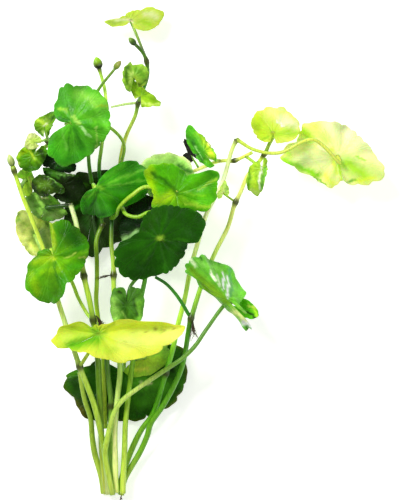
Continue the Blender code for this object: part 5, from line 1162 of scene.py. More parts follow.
        stalk_tones=("#9ccc4c", "#5c9c1c"),
    ),
    "leaf_young_right": dict(
        at=(18.4, -22.6, 19.4), radius=9.2, heading=-30, aspect=0.42, fold=(40, 40), crease_width=0.3,
        cut=50, on="curved_shoot", joint=(14.6, -20.5), stalk_drop=2.6, stalk_lead=0.7, stalk_radius=0.5,
        seed=14, tones=("#54bc10", "#60c80c"), scallops=9,
        streaks=[
            (5.2, -0.6, 6.4, -3.8, 1, "#bcf434", 0.9), (2, -1.8, 6.4, -5, 0.5, "#0c3804", 0.9),
            (2.8, 0.6, 5.6, -0.6, 0.6, "#c0d850", 0.8),
        ],
        stalk_tones=("#68bc28", "#58a420"),
    ),
    "leaf_left_under": dict(
        at=(-64.8, 5.6, 2.4), underside_up=True, on="left_long", joint=(-59.6, -5), via=[(-62, 0, 8)],
        stalk_drop=2.5, stalk_lead=0,
        margin=[
            (-59.6, -1.6), (-56.8, 1.6), (-56.4, 5.6), (-57.2, 9.6), (-60, 12.4), (-62.8, 13.6),
            (-65.2, 14.8), (-67.2, 16), (-70, 16.4), (-72, 15.2), (-72.8, 12.4), (-72.6, 8.4),
            (-71.4, 4.4), (-69.2, 1.2), (-67.2, -1.6), (-63.6, -2.8), (-61.4, -2.6),
        ],
        seed=15, tones=("#b8ca31", "#d8e25e"), rumple=0.07, frill=0.04,
        creases=[(-60, 0.05, 14), (0, -0.05, 12), (60, 0.05, 12)], scallops=11,
        # The two broad dark green streaks right of the stalk are painted shade
        streaks=[
            (-6.4, 5.6, -3.6, -3.2, 2.6, "#f0f685", 0.95), (-7.2, 9.6, -6.8, 6, 0.9, "#64a30a", 0.9),
            (-5.2, 9.6, -2, 7.6, 1.4, "#f4f78f", 0.9), (-5.2, 5.6, -2.4, 4, 0.7, "#8cb214", 0.75),
            (-3.6, 2.4, -1.2, 4.4, 0.7, "#f0f075", 0.7), (2.8, 1.6, 6, -5.6, 3.2, "#244f05", 1),
            (-1.2, 1.6, 0.4, -2.8, 1, "#3c6f0a", 0.85), (-2.8, -4.8, 2, -8, 0.7, "#f0f78f", 0.95),
            (-3.2, -6.4, -1.2, -8.8, 0.4, "#3c5b07", 0.8), (4.4, 5.6, 6.8, 1.6, 1.6, "#244f06", 0.9),
            (-0.4, 5.6, 0.4, 2.4, 0.6, "#c8e238", 0.7),
        ],
    ),
    "leaf_dark_crumpled": dict(
        at=(-59.6, 17.2, 8.5), underside_up=True, on="thick", joint=(-50.2, 18.5), stalk_drop=1.8,
        stalk_lead=0,
        margin=[
            (-62.4, 12.4), (-59.6, 11.6), (-56.4, 12), (-53.6, 13), (-51.2, 14.6), (-54, 18),
            (-56.8, 21.2), (-59.2, 22.6), (-61.8, 21.2), (-64.4, 23.6), (-66.8, 23), (-68.8, 20.8),
            (-68, 18), (-66, 15.2), (-64.2, 13.4), (-62.5, 12.4),
        ],
        seed=16, tones=("#3a910b", "#2b7509"), rumple=0.09, frill=0.08,
        creases=[(-120, 0.08, 14), (-60, -0.08, 14), (0, 0.07, 12), (70, -0.07, 14)], scallops=11,
        # The thin near-white streak is a painted highlight
        streaks=[
            (-8, 3.6, -4.8, -2.8, 2, "#235a05", 0.9), (-5.2, 5.6, -1.6, 0, 0.7, "#b4f662", 0.95),
            (-2, 4.4, 0, 3.6, 0.4, "#f6f7b0", 1), (-0.8, 2.4, 0.8, -0.4, 0.9, "#1b5e05", 0.7),
            (1.2, 4.4, 6.4, -1.6, 1.2, "#94e441", 0.9), (2, 1.2, 4, -1.2, 0.6, "#c0f768", 0.75),
            (-1.6, -2.8, 7.2, -4, 1.4, "#1b4c03", 0.95), (-9.6, 1.2, -8, -0.4, 0.7, "#75cd2f", 0.8),
            (-3.2, -0.8, -2.4, -2.8, 0.6, "#a4e850", 0.7),
        ],
        stalk_tones=("#3c6c1c", "#2c500f"),
    ),
    "leaf_olive_left": dict(
        at=(-59.6, 26, 17.2), tilt=6, lean=200, cup=-0.06, on="thick", joint=(-54.6, 30.4),
        via=[(-59.2, 28.4, 10.4)], stalk_drop=2, stalk_lead=0, stalk_radius=0.6,
        margin=[
            (-51.8, 24.2), (-53.2, 25.8), (-55.6, 27.4), (-57.6, 28.8), (-59.6, 29.8), (-62, 30.4),
            (-64, 29.2), (-65.6, 27.6), (-65.6, 25.2), (-64.4, 23.2), (-62.4, 21.6), (-60, 21.2),
            (-58, 22.4), (-56, 22.8), (-53.6, 22.4), (-52, 23.4), (-51.8, 24.1),
        ],
        seed=17, tones=("#405f0a", "#314f07"), rumple=0.08, creases=[(-40, 0.06, 14), (60, -0.06, 14)],
        scallops=10,
        # The thin pale green streak is a painted highlight on its edge, and the near-black streaks are
        # painted shade around it
        streaks=[
            (-2.4, 0.4, 0.8, 0.4, 1.6, "#618e22", 0.85), (-6.8, 0.4, -4.8, -2.4, 1.3, "#0f2102", 0.95),
            (0.4, 4, 4.4, 1.2, 0.4, "#92d95f", 1), (2.8, 0.4, 6.4, -2.8, 1.3, "#173b02", 0.9),
            (-1.6, -3.2, 1.6, -4.4, 0.9, "#061801", 0.9), (-4, 3.6, 0, 2.8, 0.7, "#213803", 0.7),
            (4.8, 0.8, 7.2, -0.4, 0.5, "#4a8a1a", 0.8),
        ],
    ),
    # Near-black tones: painted shade among the leaves on the left
    "leaf_black_left": dict(
        at=(-52.8, 26.4, 14), cup=-0.04, on="thick", joint=(-52.6, 25), stalk_drop=1.8, stalk_lead=0.2,
        stalk_radius=0.6,
        margin=[
            (-57.2, 21.6), (-54, 19.6), (-50.8, 18.8), (-47.6, 19.6), (-45.2, 21.6), (-44, 24),
            (-44.4, 26.4), (-46, 28.6), (-48.4, 30.4), (-51.2, 30.6), (-53.6, 31.4), (-56.4, 32.4),
            (-59.2, 33.2), (-61.4, 33.2), (-60.8, 30.8), (-59.2, 28.4), (-57.2, 26.2),
        ],
        seed=18, tones=("#152106", "#172b0a"), skin="dark_blade", rumple=0.02,
        creases=[(20, 0.05, 12), (-60, 0.04, 10)], scallops=10,
        streaks=[
            (-8.4, 6.4, -2.8, 4.8, 0.7, "#579e25", 0.95), (-2.8, 4.8, 0.4, 3.6, 0.7, "#79bc51", 0.9),
            (-0.4, 4, 4, 4, 0.4, "#8bbc64", 0.8), (-6, 4.8, -2, 2.4, 0.7, "#468520", 0.75),
        ],
        stalk_tones=("#1c300c", "#2c4410"),
    ),
    # Near-black tones: painted shade in the deep gaps behind the middle of the bunch
    "leaf_dark_under": dict(
        at=(-41.2, 15.2, 5.6), underside_up=True, on="behind_left", joint=(-39.6, 5.5),
        via=[(-41, 12, 9)], stalk_drop=2, stalk_lead=0,
        margin=[
            (-44.4, -2.4), (-41.6, -3.2), (-39.2, -2), (-37.6, 0), (-34.8, 1.2), (-31.6, 2.8),
            (-28.8, 4.4), (-27.2, 8.8), (-26.4, 14.4), (-26.8, 20), (-28.4, 24.8), (-31.6, 29.6),
            (-34.8, 32.4), (-38, 32.2), (-41.6, 31.8), (-45.2, 31.6), (-48.4, 31.2), (-49.6, 27.2),
            (-51.4, 22.4), (-52.8, 17.2), (-53, 12), (-52, 7.6), (-49.8, 3.6), (-47.6, 0.8),
            (-45.6, -1.6), (-44.5, -2.35),
        ],
        seed=19, tones=("#062a02", "#042301"), skin="dark_blade", rumple=0.04, scallops=11,
        streaks=[
            (-6.8, 11.2, -1.6, 11.2, 0.7, "#417410", 0.85), (-8.8, 8, -4, 5.2, 1.6, "#214e03", 0.8),
            (-7.2, 1.6, -4.8, 2.8, 0.9, "#4fcc16", 0.85), (4.8, -5.2, 12.8, -8, 2.4, "#031601", 0.8),
            (-3.2, -2.4, 0, -11.2, 1.6, "#0f5502", 0.7), (3.2, -2, 0.8, -9.6, 0.6, "#1a6905", 0.7),
            (-8, 13.6, -4, 14.4, 1.2, "#072102", 0.6),
        ],
        stalk_tones=("#1c300c", "#2c5014"),
    ),
    "leaf_left_mid": dict(
        at=(-68.4, 28, 12.4), underside_up=True, on="left_long", joint=(-70, 24.6), stalk_drop=1.8,
        stalk_lead=0,
        margin=[
            (-71, 26.4), (-70.4, 24), (-68.8, 21.6), (-66.8, 21.6), (-65.2, 24), (-64.8, 27.2),
            (-65.2, 30.4), (-66.8, 32.4), (-69.2, 32.8), (-71, 31.4), (-71.8, 29.4),
        ],
        seed=20, tones=("#a8da10", "#8bcb08"), rumple=0.09, frill=0.08,
        creases=[(-50, 0.07, 14), (40, -0.07, 14)], scallops=10,
        streaks=[
            (2, 0.8, 2.8, -5.6, 0.6, "#6f560a", 0.85), (-1.6, 2.4, 2.4, 2.8, 0.9, "#87da0a", 0.7),
            (-0.8, -1.6, 0.8, -5.6, 1, "#bfe320", 0.6), (-3.2, -0.8, -1.6, -4, 0.7, "#c9f712", 0.7),
        ],
    ),
    "leaf_left_bright": dict(
        at=(-64.8, 37.6, 19.2), tilt=6, lean=200, cup=-0.05, on="thick", joint=(-58.6, 42.4),
        via=[(-63, 39.6, 14.8)], stalk_drop=2,
        margin=[
            (-63.2, 41.2), (-65.6, 41), (-67.6, 41.4), (-69.6, 40.4), (-71, 38.8), (-71.6, 36.8),
            (-71.2, 34.8), (-70, 32.8), (-67.6, 31.4), (-65.2, 31.4), (-62.8, 32.2), (-61.2, 34),
            (-60, 36.4), (-59, 39.2), (-59.8, 41.6), (-61.4, 41.8),
        ],
        seed=21, tones=("#659f07", "#468604"), rumple=0.08, frill=0.08,
        creases=[(-60, 0.07, 13), (10, -0.07, 13), (80, 0.06, 12)], scallops=10,
        streaks=[
            (-6, 0.8, -2.8, 2.4, 1.3, "#9bc30f", 0.95), (-1.2, 2, 0.8, -1.2, 0.7, "#badc2f", 0.95),
            (-3.6, -0.8, -1.2, -4, 1.3, "#498d04", 0.8), (2.8, 3.2, 4.4, -1.6, 1.3, "#244205", 0.95),
            (1.2, -0.8, 2.8, -3.2, 0.7, "#6fa31c", 0.8), (-2.8, -4.8, 4.4, -5.6, 0.9, "#2a6204", 0.85),
            (-7.2, -1.2, -6, -3.6, 0.6, "#b0d53f", 0.9), (-2, 4, 0.4, 3.2, 0.6, "#316d03", 0.8),
            (1.2, 2.4, 5.2, 4.8, 0.4, "#79ad1c", 0.8),
        ],
        stalk_tones=("#a8cc48", "#c4dc78"),
    ),
    "leaf_left_pale": dict(
        at=(-64.6, 43.4, 21.5), tilt=8, lean=150, on="thick", joint=(-59.8, 44.2), stalk_drop=2,
        stalk_radius=0.5,
        margin=[
            (-61.6, 42.6), (-61.2, 44.2), (-62.8, 45.8), (-64.4, 46.8), (-66.2, 46.6), (-67.2, 44.8),
            (-68, 42.8), (-68.2, 41), (-66, 40.2), (-63.6, 40.6), (-62.2, 41.6),
        ],
        seed=22, tones=("#b0cb4c", "#c6d67e"), rumple=0.06, frill=0.08, scallops=10,
        streaks=[
            (-2.2, 2.2, 0.2, 3, 1, "#d5db96", 0.85), (0.2, -0.2, 2.6, 0.6, 0.7, "#95bc30", 0.7),
            (-3, -1, -1.4, -2.2, 0.7, "#bbcb61", 0.6),
        ],
        stalk_tones=("#d0e490", "#d8eca0"),
    ),
    "leaf_left_crinkled": dict(
        at=(-59.8, 49.6, 26.5), tilt=8, lean=150, cup=0.1, on="thick", joint=(-58.9, 43.4),
        stalk_drop=2.8, stalk_radius=0.6,
        margin=[
            (-59, 45), (-57.8, 47.6), (-56.4, 50.4), (-55, 53.2), (-55.2, 55), (-56.8, 55.4),
            (-58.4, 54.6), (-60, 53.8), (-61.6, 53), (-63.2, 52), (-64.2, 49.8), (-63.4, 47.6),
            (-61.8, 46.2), (-60.2, 44.8),
        ],
        seed=23, tones=("#74ad19", "#639914"), rumple=0.07, frill=0.08,
        creases=[(0, -0.06, 10), (40, 0.05, 12), (-40, 0.05, 12)], scallops=11,
        streaks=[
            (-3, 2, 0.6, 0.8, 1, "#b8d842", 0.9), (-0.6, 0, 0.6, 0.8, 0.4, "#ebf3c4", 0.9),
            (1.8, 5.2, 4.6, 5.6, 0.7, "#41790e", 0.85), (2.2, 2.4, 4.2, 4, 0.9, "#1f520b", 0.95),
            (-3.4, -1.6, -0.6, -4, 0.8, "#4d8914", 0.75), (-0.6, -2.4, 0.6, -4.4, 0.4, "#bce06c", 0.85),
            (0.2, 3.6, 1.8, 2, 0.7, "#9ac442", 0.7),
        ],
        stalk_tones=("#b0d850", "#c4e478"),
    ),
    "leaf_top": dict(
        at=(-26, 92.4, 8.4), tilt=25, lean=92, on="green_tall", joint=(-19.4, 77), via=[(-22.8, 84.8, 9)],
        stalk_drop=2.6, stalk_lead=0, stalk_radius=0.6,
        margin=[
            (-24.4, 89.2), (-22.8, 88.6), (-20, 88.4), (-17.2, 88.8), (-14.8, 90.4), (-14, 92),
            (-12.6, 94.4), (-12.8, 96.4), (-14.8, 97.8), (-17.6, 98.4), (-20, 98), (-22, 96.8), (-24, 97),
            (-26.4, 96), (-28.4, 94.8), (-30.8, 93.6), (-33.6, 93.2), (-37.6, 92), (-35.2, 91),
            (-33.6, 90.2), (-30.4, 90.2), (-27.8, 90.6),
        ],
        seed=24, tones=("#c1ce53", "#b6c73e"), skin="thin_blade", scallops=12, ragged=0.02,
        streaks=[
            (6.4, 2.8, 10.4, 2, 1.4, "#d8db9d", 0.85), (3.2, -0.4, 8, -1.2, 1, "#97bd21", 0.75),
            (-9.6, -0.4, -4, -0.8, 0.7, "#9fb53e", 0.85), (-7.2, 0.8, -2.4, 0.4, 0.6, "#d0d2a1", 0.8),
            (-1.6, 0.4, 0.8, -0.4, 0.7, "#dcd9b1", 0.7),
        ],
        stalk_tones=("#a8cc50", "#1c3808"),
    ),
    "leaf_small_round": dict(
        at=(-24.4, 69.2, 24), fold=(-38, -12), crease_width=0.25, on="green_tall", joint=(-19.2, 72),
        stalk_drop=2, stalk_radius=0.6,
        margin=[
            (-22.4, 64.8), (-20.8, 65.2), (-19.4, 66.4), (-18.6, 68.8), (-18.6, 71.2), (-19.6, 73.2),
            (-21.2, 74.2), (-23.2, 74), (-24.8, 73.8), (-26, 75.4), (-27.4, 74.4), (-28.4, 72.4),
            (-28.8, 69.6), (-28.4, 66.4), (-27.4, 63.6), (-26, 62.6),
        ],
        seed=25, tones=("#7eae2d", "#8db935"), creases=[(20, -0.05, 12), (60, 0.04, 12), (-40, 0.04, 12)],
        scallops=11, frill=0.05,
        streaks=[
            (-2.8, 3.6, -2.8, -2.8, 0.9, "#31600b", 0.9), (0.8, 2.8, 4, 0.4, 1.4, "#5b9b1a", 0.8),
            (0, -1.2, 3.2, -4.4, 1, "#99b12d", 0.7), (-0.8, 2, -1.2, -2.8, 0.5, "#acc85b", 0.85),
            (2.4, -2.8, 4.8, -1.2, 0.7, "#31630b", 0.85),
        ],
        stalk_tones=("#88b43c", "#5c9420"),
    ),
    "leaf_small_light": dict(
        at=(-21.6, 61.6, 20.6), cup=-0.05, on="green_tall", joint=(-22.9, 58.4), stalk_drop=2.2,
        stalk_radius=0.5,
        margin=[
            (-21.6, 57.2), (-19.6, 57), (-16.8, 57.6), (-14, 57.6), (-13.2, 59), (-15.2, 60.2),
            (-16, 61.4), (-17.6, 62.6), (-19, 63.4), (-20.4, 64.6), (-22, 65.8), (-24, 67.6), (-26, 68.6),
            (-26.6, 66.8), (-26, 64.4), (-25, 62.4), (-23.8, 60.4),
        ],
        seed=26, tones=("#93c31d", "#9fcb26"), scallops=10, frill=0.04,
        streaks=[
            (-1.2, 2.4, 2, 0.8, 0.9, "#6da80e", 0.8), (2.8, -0.8, 6.8, -2.4, 0.9, "#88c314", 0.7),
            (0.4, -3.2, 7.6, -3.2, 0.4, "#c8e56a", 0.85), (-2, -0.8, 0.4, -2.4, 0.7, "#c5de4f", 0.7),
        ],
    ),
    "leaf_right_top_dark": dict(
        at=(3.2, 39.2, 18.5), fold=(-25, -20), on="right_light", joint=(10.5, 35.9), via=[(6, 37, 14)],
        stalk_drop=2, stalk_radius=0.6,
        margin=[
            (8.6, 35.2), (8.4, 37.2), (7.6, 39.2), (7.2, 40.8), (6, 42.6), (4.8, 44), (3.2, 46),
            (1.2, 46.8), (-0.4, 48.2), (-2, 49.8), (-3.2, 49.6), (-4, 47.6), (-3.6, 44.8), (-2.4, 41.6),
            (-0.6, 38.8), (1.6, 36.2), (4, 34.2), (6, 33), (8, 33.4),
        ],
        seed=27, tones=("#43a114", "#51ad1d"), creases=[(0, -0.05, 12), (50, 0.04, 10), (-50, 0.04, 10)],
        frill=0.08, scallops=12,
        streaks=[
            (0.4, 4.8, 3.6, -1.6, 1.2, "#c7e82d", 0.95), (-2.4, 7.6, 1.2, 4, 1, "#a0d31d", 0.85),
            (2, 3.2, 3.2, 2, 0.4, "#f7f7a6", 0.95), (-4.4, 4.8, -0.8, -2.4, 1, "#216a0e", 0.9),
            (-2.8, 2.4, -0.4, -2.4, 0.4, "#9be076", 0.85), (-3.2, 7.6, 0.4, 0.8, 0.4, "#79c73d", 0.7),
            (-6.4, 8.8, -4.4, 4.8, 0.9, "#48a31d", 0.6), (0.4, -3.2, 4, -4.8, 0.6, "#6fc21d", 0.8),
        ],
        stalk_tones=("#98cc38", "#c8dc58"),
    ),
    "leaf_withered": dict(
        at=(-1.8, 38.4, 9.5), on="right_light", joint=(1.2, 32.6), stalk_drop=1.2, stalk_lead=0,
        stalk_radius=0.4,
        margin=[
            (0.8, 36.6), (0.4, 38), (-0.8, 40), (-2.2, 42.4), (-3.2, 44.8), (-4.4, 45.4), (-4.6, 43.2),
            (-3.6, 41), (-3, 39.4), (-5, 36), (-3.2, 35.4), (-0.8, 35.8),
        ],
        seed=28, tones=("#14100a", "#0c0a06"), skin="withered", rumple=0.1, frill=0.12, ragged=0.06,
        scallops=9,
    ),
    "leaf_right_light": dict(
        at=(31.2, 46.4, 22), fold=(14, 14), crease_width=0.2, tilt=20, lean=90, on="right_green",
        joint=(28.2, 38.8), via=[(29.6, 42.2, 18.4)], stalk_drop=2.5,
        margin=[
            (32.4, 42.6), (35.2, 42.8), (38.8, 43.6), (40.8, 45.2), (42, 47.2), (42, 49.6), (40.8, 52.4),
            (38.8, 54.4), (37.2, 55.8), (35.6, 57.2), (33.6, 57.6), (31.6, 56.8), (30, 57.6), (28.4, 57),
            (26.8, 56), (24.8, 55.6), (23.2, 53.6), (22.4, 50.8), (22.8, 48.4), (24.4, 45.6), (26, 43.8),
            (27.6, 43), (30, 43.2),
        ],
        seed=29, tones=("#c7de3b", "#d2e25b"), creases=[(0, 0.03, 14), (70, -0.03, 12), (-60, 0.03, 12)],
        skin="thin_blade", scallops=12, frill=0.0,
        # The thin bluish-white streak is a painted highlight
        streaks=[
            (-6.8, 6.4, -4.4, -0.8, 3.2, "#bfda23", 0.95), (-4.4, -2.8, -2, -1.6, 0.7, "#96c018", 0.6),
            (-1.2, 2.4, -0.4, -1.6, 0.4, "#8eb818", 0.75), (0.8, 0, 10, 0.4, 1.4, "#acd323", 0.9),
            (-1.2, 8.8, 4.8, 6.4, 2.4, "#e3eb8a", 0.85), (3.6, 5.6, 8.4, 4, 2, "#e7edba", 0.8),
            (1.2, 4.8, 4.4, 3.2, 0.4, "#eff0f7", 0.8), (0.4, 10.4, 4.4, 10, 0.6, "#d9e8a2", 0.6),
        ],
        stalk_tones=("#c8dc5c", "#8cb838"),
    ),
    "leaf_right_pale": dict(
        at=(57.2, 37.2, 16), underside_up=True, cup=0.05, on="pale_long", joint=(16.6, 44),
        via=[(47, 44, 26), (34, 38.8, 25), (24, 40, 20)],
        margin=[
            (59.6, 27.6), (62, 26.2), (66, 26), (69.6, 26), (72.4, 27.2), (74.8, 28), (76.4, 30.8),
            (76, 33.6), (74.4, 36), (72.4, 38.8), (70, 41.6), (67.6, 44.4), (65.2, 46.8), (62, 49.2),
            (58.8, 50.8), (55.2, 51.6), (51.6, 52), (47.2, 51.6), (43.2, 50.8), (42, 48), (41.6, 45.6),
            (39.6, 43.6), (37.2, 42.8), (35.2, 40.4), (34, 37.2), (35.6, 35.6), (38, 34), (40.8, 32),
            (44, 30.4), (47.2, 29.6), (49.2, 27.6), (52, 26), (54.8, 24.6), (56.4, 25.6), (58.4, 27.6),
            (59.5, 27.6),
        ],
        seed=30, tones=("#f0f7a6", "#eaf798"),
        creases=[(150, 0.04, 12), (125, -0.04, 12), (-150, -0.04, 12), (-120, 0.04, 12), (40, 0.03, 14)],
        skin="thin_blade", scallops=14, frill=0.04, rumple=0.02,
        streaks=[
            (-14, 10.8, -11.2, 8, 2.4, "#b6e528", 0.95), (-9.6, 12.4, -4.8, 7.6, 2.8, "#cdf258", 0.8),
            (-1.6, 13.2, 11.2, 6.8, 4.4, "#f4f7c4", 0.85), (15.2, -0.4, 17.6, -6, 2, "#eaf7a3", 0.8),
            (3.6, -2.4, 11.2, -7.6, 3, "#b6e52c", 0.95), (7.2, 0, 12, -1.2, 0.4, "#a3d51d", 0.85),
            (0.4, -1.2, 1.6, -10, 0.6, "#b2e115", 0.9), (-2.4, 2.8, -0.8, -6, 1, "#def749", 0.85),
            (-21.6, -1.2, -8, -7.2, 1.4, "#93d115", 1), (-15.2, 0.4, -6.4, -1.2, 2.8, "#ecf7b5", 0.8),
            (-4.8, -7.6, -1.6, -11.6, 1.7, "#e6f758", 0.85), (-9.6, -8, -4.8, -10.8, 0.4, "#4b9612", 0.9),
            (3.6, -10.4, 7.2, -9.2, 0.5, "#4b9212", 0.9), (13.6, -3.2, 17.6, -8.4, 2, "#e0f78c", 0.8),
            (8, -9.2, 14.4, -8.4, 0.9, "#e2f742", 0.85), (-21.2, 2.8, -19.2, 0.4, 0.9, "#b6e549", 0.8),
            (-8, 4.4, -3.2, 2, 0.5, "#f7f7cc", 0.8), (-13.6, 3.6, -6.4, -4.4, 0.4, "#daf285", 0.7),
        ],
        stalk_tones=("#e0e85c", "#c4d84c"),
    ),
    "leaf_right_hanging": dict(
        at=(26.8, 32.8, 19.8), fold=(-22, -22), on="right_light", joint=(20.5, 37.8), stalk_drop=1.2,
        stalk_lead=0, stalk_radius=0.6,
        margin=[
            (25.6, 36), (23.6, 34.8), (22, 33.2), (21.2, 30.4), (20.8, 26.8), (21.2, 24), (22.4, 22.6),
            (24, 22), (24.8, 21.2), (25.6, 22.4), (26.8, 23.6), (27.6, 26), (28, 28.8), (28.4, 31.6),
            (29, 34), (28.8, 36.8), (27.6, 37),
        ],
        seed=31, tones=("#acd634", "#9aca2c"), creases=[(0, -0.05, 12), (40, 0.05, 12), (-40, 0.05, 12)],
        frill=0.05, scallops=10,
        # The thin near-white streak is a painted highlight
        streaks=[
            (-5.2, 1.2, -5.2, -8.8, 0.5, "#458a12", 0.85), (-3.6, 0, -2.8, -8, 1, "#bade30", 0.8),
            (0, 3.2, -1.2, -8, 0.4, "#f7f7e4", 0.9), (1.2, 0, 0, -8, 0.8, "#65b641", 0.85),
            (-4, -9.2, -0.8, -10, 0.7, "#c7e270", 0.8), (-2.4, -1.6, -2, -6.4, 0.4, "#88be1f", 0.7),
        ],
        stalk_tones=("#a4d048", "#b8d44c"),
    ),
    "leaf_right_tiny": dict(
        at=(11.4, 23.2, 14.8), on="right_green", joint=(16.2, 19.6), stalk_drop=1.6, stalk_lead=0.4,
        stalk_radius=0.4,
        margin=[
            (13, 21.4), (13.6, 24), (12.8, 26.4), (12, 28.2), (11, 26.4), (10, 24), (9.2, 20.6),
            (10.8, 21),
        ],
        seed=32, tones=("#d1e57b", "#b3d15a"), skin="thin_blade", scallops=9, frill=0.04,
        streaks=[(1, 2.4, 1.4, -1.6, 0.4, "#83b13f", 0.7)], stalk_tones=("#a4cc38", "#a8c83c"),
    ),
}

# Each closed bud grows on the end of a stem: its length, its largest radius, and its tones from base to tip
BUDS = {
    "pale_front": (4.4, 1.9, ("#0c0e04", "#141a04", "#6c8c1c", "#98cc28", "#a8d838")),
    "middle_top": (3.8, 1.3, ("#5c7c1c", "#8c9c38", "#8c8448")),
    "left_long": (4.6, 1.5, ("#5c7424", "#d8e48c")),
    "green_tall": (3.4, 1.3, ("#14240a", "#3c5c18", "#8cb040")),
}

# Each root tuft: where it starts beside a knot, which way it goes, its length, its spread and its hairs
ROOTS = {
    "roots_thick": ((-39.6, -26.2, 21.3), (0.75, -0.55, -0.2), 6.8, 0.8, 32),
    "roots_right": ((-1.0, -28.0, 16.7), (0.35, -0.9, 0.1), 7.8, 0.55, 26),
    "roots_middle": ((-33.6, -10.0, 15.8), (-0.9, -0.3, 0.3), 6.8, 0.3, 9),
    "roots_base": ((-29.8, -98.8, 4.2), (0.2, -1.0, 0.0), 2.9, 0.7, 10),
}


class PennywortSizes(bpy.types.PropertyGroup):
    """Sizes of the fine model."""

    blade_mm: bpy.props.FloatProperty(
        name="Blade thickness",
        description="Thickness of a leaf blade at its stalk, in millimetres",
        default=0.34,
        min=0.1,
    )
    stalk_mm: bpy.props.FloatProperty(
        name="Stalk width", description="Thickness of a leaf stalk, in millimetres", default=1.5, min=0.3
    )
    knot_mm: bpy.props.FloatProperty(
        name="Knot swelling",
        description="How far a stem's knot stands proud, in millimetres",
        default=0.45,
        min=0.0,
    )
    pucker_mm: bpy.props.FloatProperty(
        name="Pucker",
        description="How far the skin rises between veins, in millimetres",
        default=0.5,
        min=0.0,
    )
    notch_depth: bpy.props.FloatProperty(
        name="Notch depth",
        description="Depth of the margin's notches as a share of the leaf's radius",
        default=0.055,
        min=0.0,
        subtype="FACTOR",
    )
    hair_mm: bpy.props.FloatProperty(
        name="Root width", description="Thickness of one root hair, in millimetres", default=0.42, min=0.05
    )


class PennywortColours(bpy.types.PropertyGroup):
    """Colours that all leaves share, and the floor's."""

    vein: bpy.props.FloatVectorProperty(
        name="Vein light",
        description="Added to a leaf's colour on its veins",
        subtype="COLOR",
        default=linear("#20300a"),
    )
    underside: bpy.props.FloatVectorProperty(
        name="Underside",
        description="What a leaf's underside is tinted with",
        subtype="COLOR",
        default=linear("#a0c060"),
    )
    floor: bpy.props.FloatVectorProperty(
        name="Floor", description="Colour of the floor", subtype="COLOR", default=linear("#fafaf8")
    )


class PennywortStage(bpy.types.PropertyGroup):
    """Camera and light."""

    distance: bpy.props.FloatProperty(
        name="Camera height",
        description="Height of the camera above the surface",
        default=1.4,
        unit="LENGTH",
    )
    picture: bpy.props.FloatProperty(
        name="Picture height",
        description="What the picture shows from top to bottom, 20 mm up",
        default=0.2,
        unit="LENGTH",
    )
    key_power: bpy.props.FloatProperty(
        name="Main light",
        description="Power of the large light from the upper left",
        default=17.5,
        unit="POWER",
    )
    fill_power: bpy.props.FloatProperty(
        name="Fill light", description="Power of the light from the right", default=5.0, unit="POWER"
    )
    sky: bpy.props.FloatProperty(
        name="Room light", description="Strength of the light from all round", default=0.38
    )


class PENNYWORT_OT_stems(bpy.types.Operator):
    """Build the stems with their knots"""

    bl_idname = "pennywort.stems"
    bl_label = "Stems"

    def execute(self, context):
        materials = get_materials(context.scene.pennywort_colours)
        for seed, (name, stem) in enumerate(make_stems().items()):
            part = stem_part(stem, context.scene.pennywort_sizes, seed + 1)
            node = "stem_" + name
            add_piece("fine_" + node, [part], materials, node)
        return {"FINISHED"}


class PENNYWORT_OT_leaves(bpy.types.Operator):
    """Build every leaf blade with its stalk"""

    bl_idname = "pennywort.leaves"
    bl_label = "Leaves"

    def execute(self, context):
        sizes = context.scene.pennywort_sizes
        materials = get_materials(context.scene.pennywort_colours)
        stems = make_stems()
        for node, leaf in LEAVES.items():
            leaf = measured(leaf)
            parts = [blade_part(leaf, sizes), stalk_part(leaf, stems, sizes)]
            add_piece("fine_" + node, parts, materials, node)
        return {"FINISHED"}


class PENNYWORT_OT_buds(bpy.types.Operator):
    """Build the closed buds on the stems' tips"""

    bl_idname = "pennywort.buds"
    bl_label = "Buds"

    def execute(self, context):
        materials = get_materials(context.scene.pennywort_colours)
        stems = make_stems()
        sunk, longer = 0.3, 0.5  # a bud starts inside its stem's tip, and is drawn longer for that
        for seed, (name, (length, radius, tones)) in enumerate(BUDS.items()):
            end, before = stems[name].route[-1], stems[name].route[-3]
            start = end - sunk * unit(end - before)
            part = egg_part(start, end - before, length + longer, radius, tones, seed)
            node = "bud_" + name
            add_piece("fine_" + node, [part], materials, node)
        return {"FINISHED"}


class PENNYWORT_OT_roots(bpy.types.Operator):
    """Build the fine roots at the knots and the cut ends"""

    bl_idname = "pennywort.roots"
    bl_label = "Roots"

    def execute(self, context):
        materials = get_materials(context.scene.pennywort_colours)
        radius = context.scene.pennywort_sizes.hair_mm / 2
        for node, (start, heading, length, spread, count) in ROOTS.items():
            parts = []
            for hair in range(count):
                share = 0.55 + 0.45 * math.sin(7.3 * hair + 1.0) ** 2  # hairs differ in length
                parts.append(hair_part(start, heading, length * share, spread, hair + 1.0, radius))
            add_piece("fine_" + node, parts, materials, node)
        return {"FINISHED"}


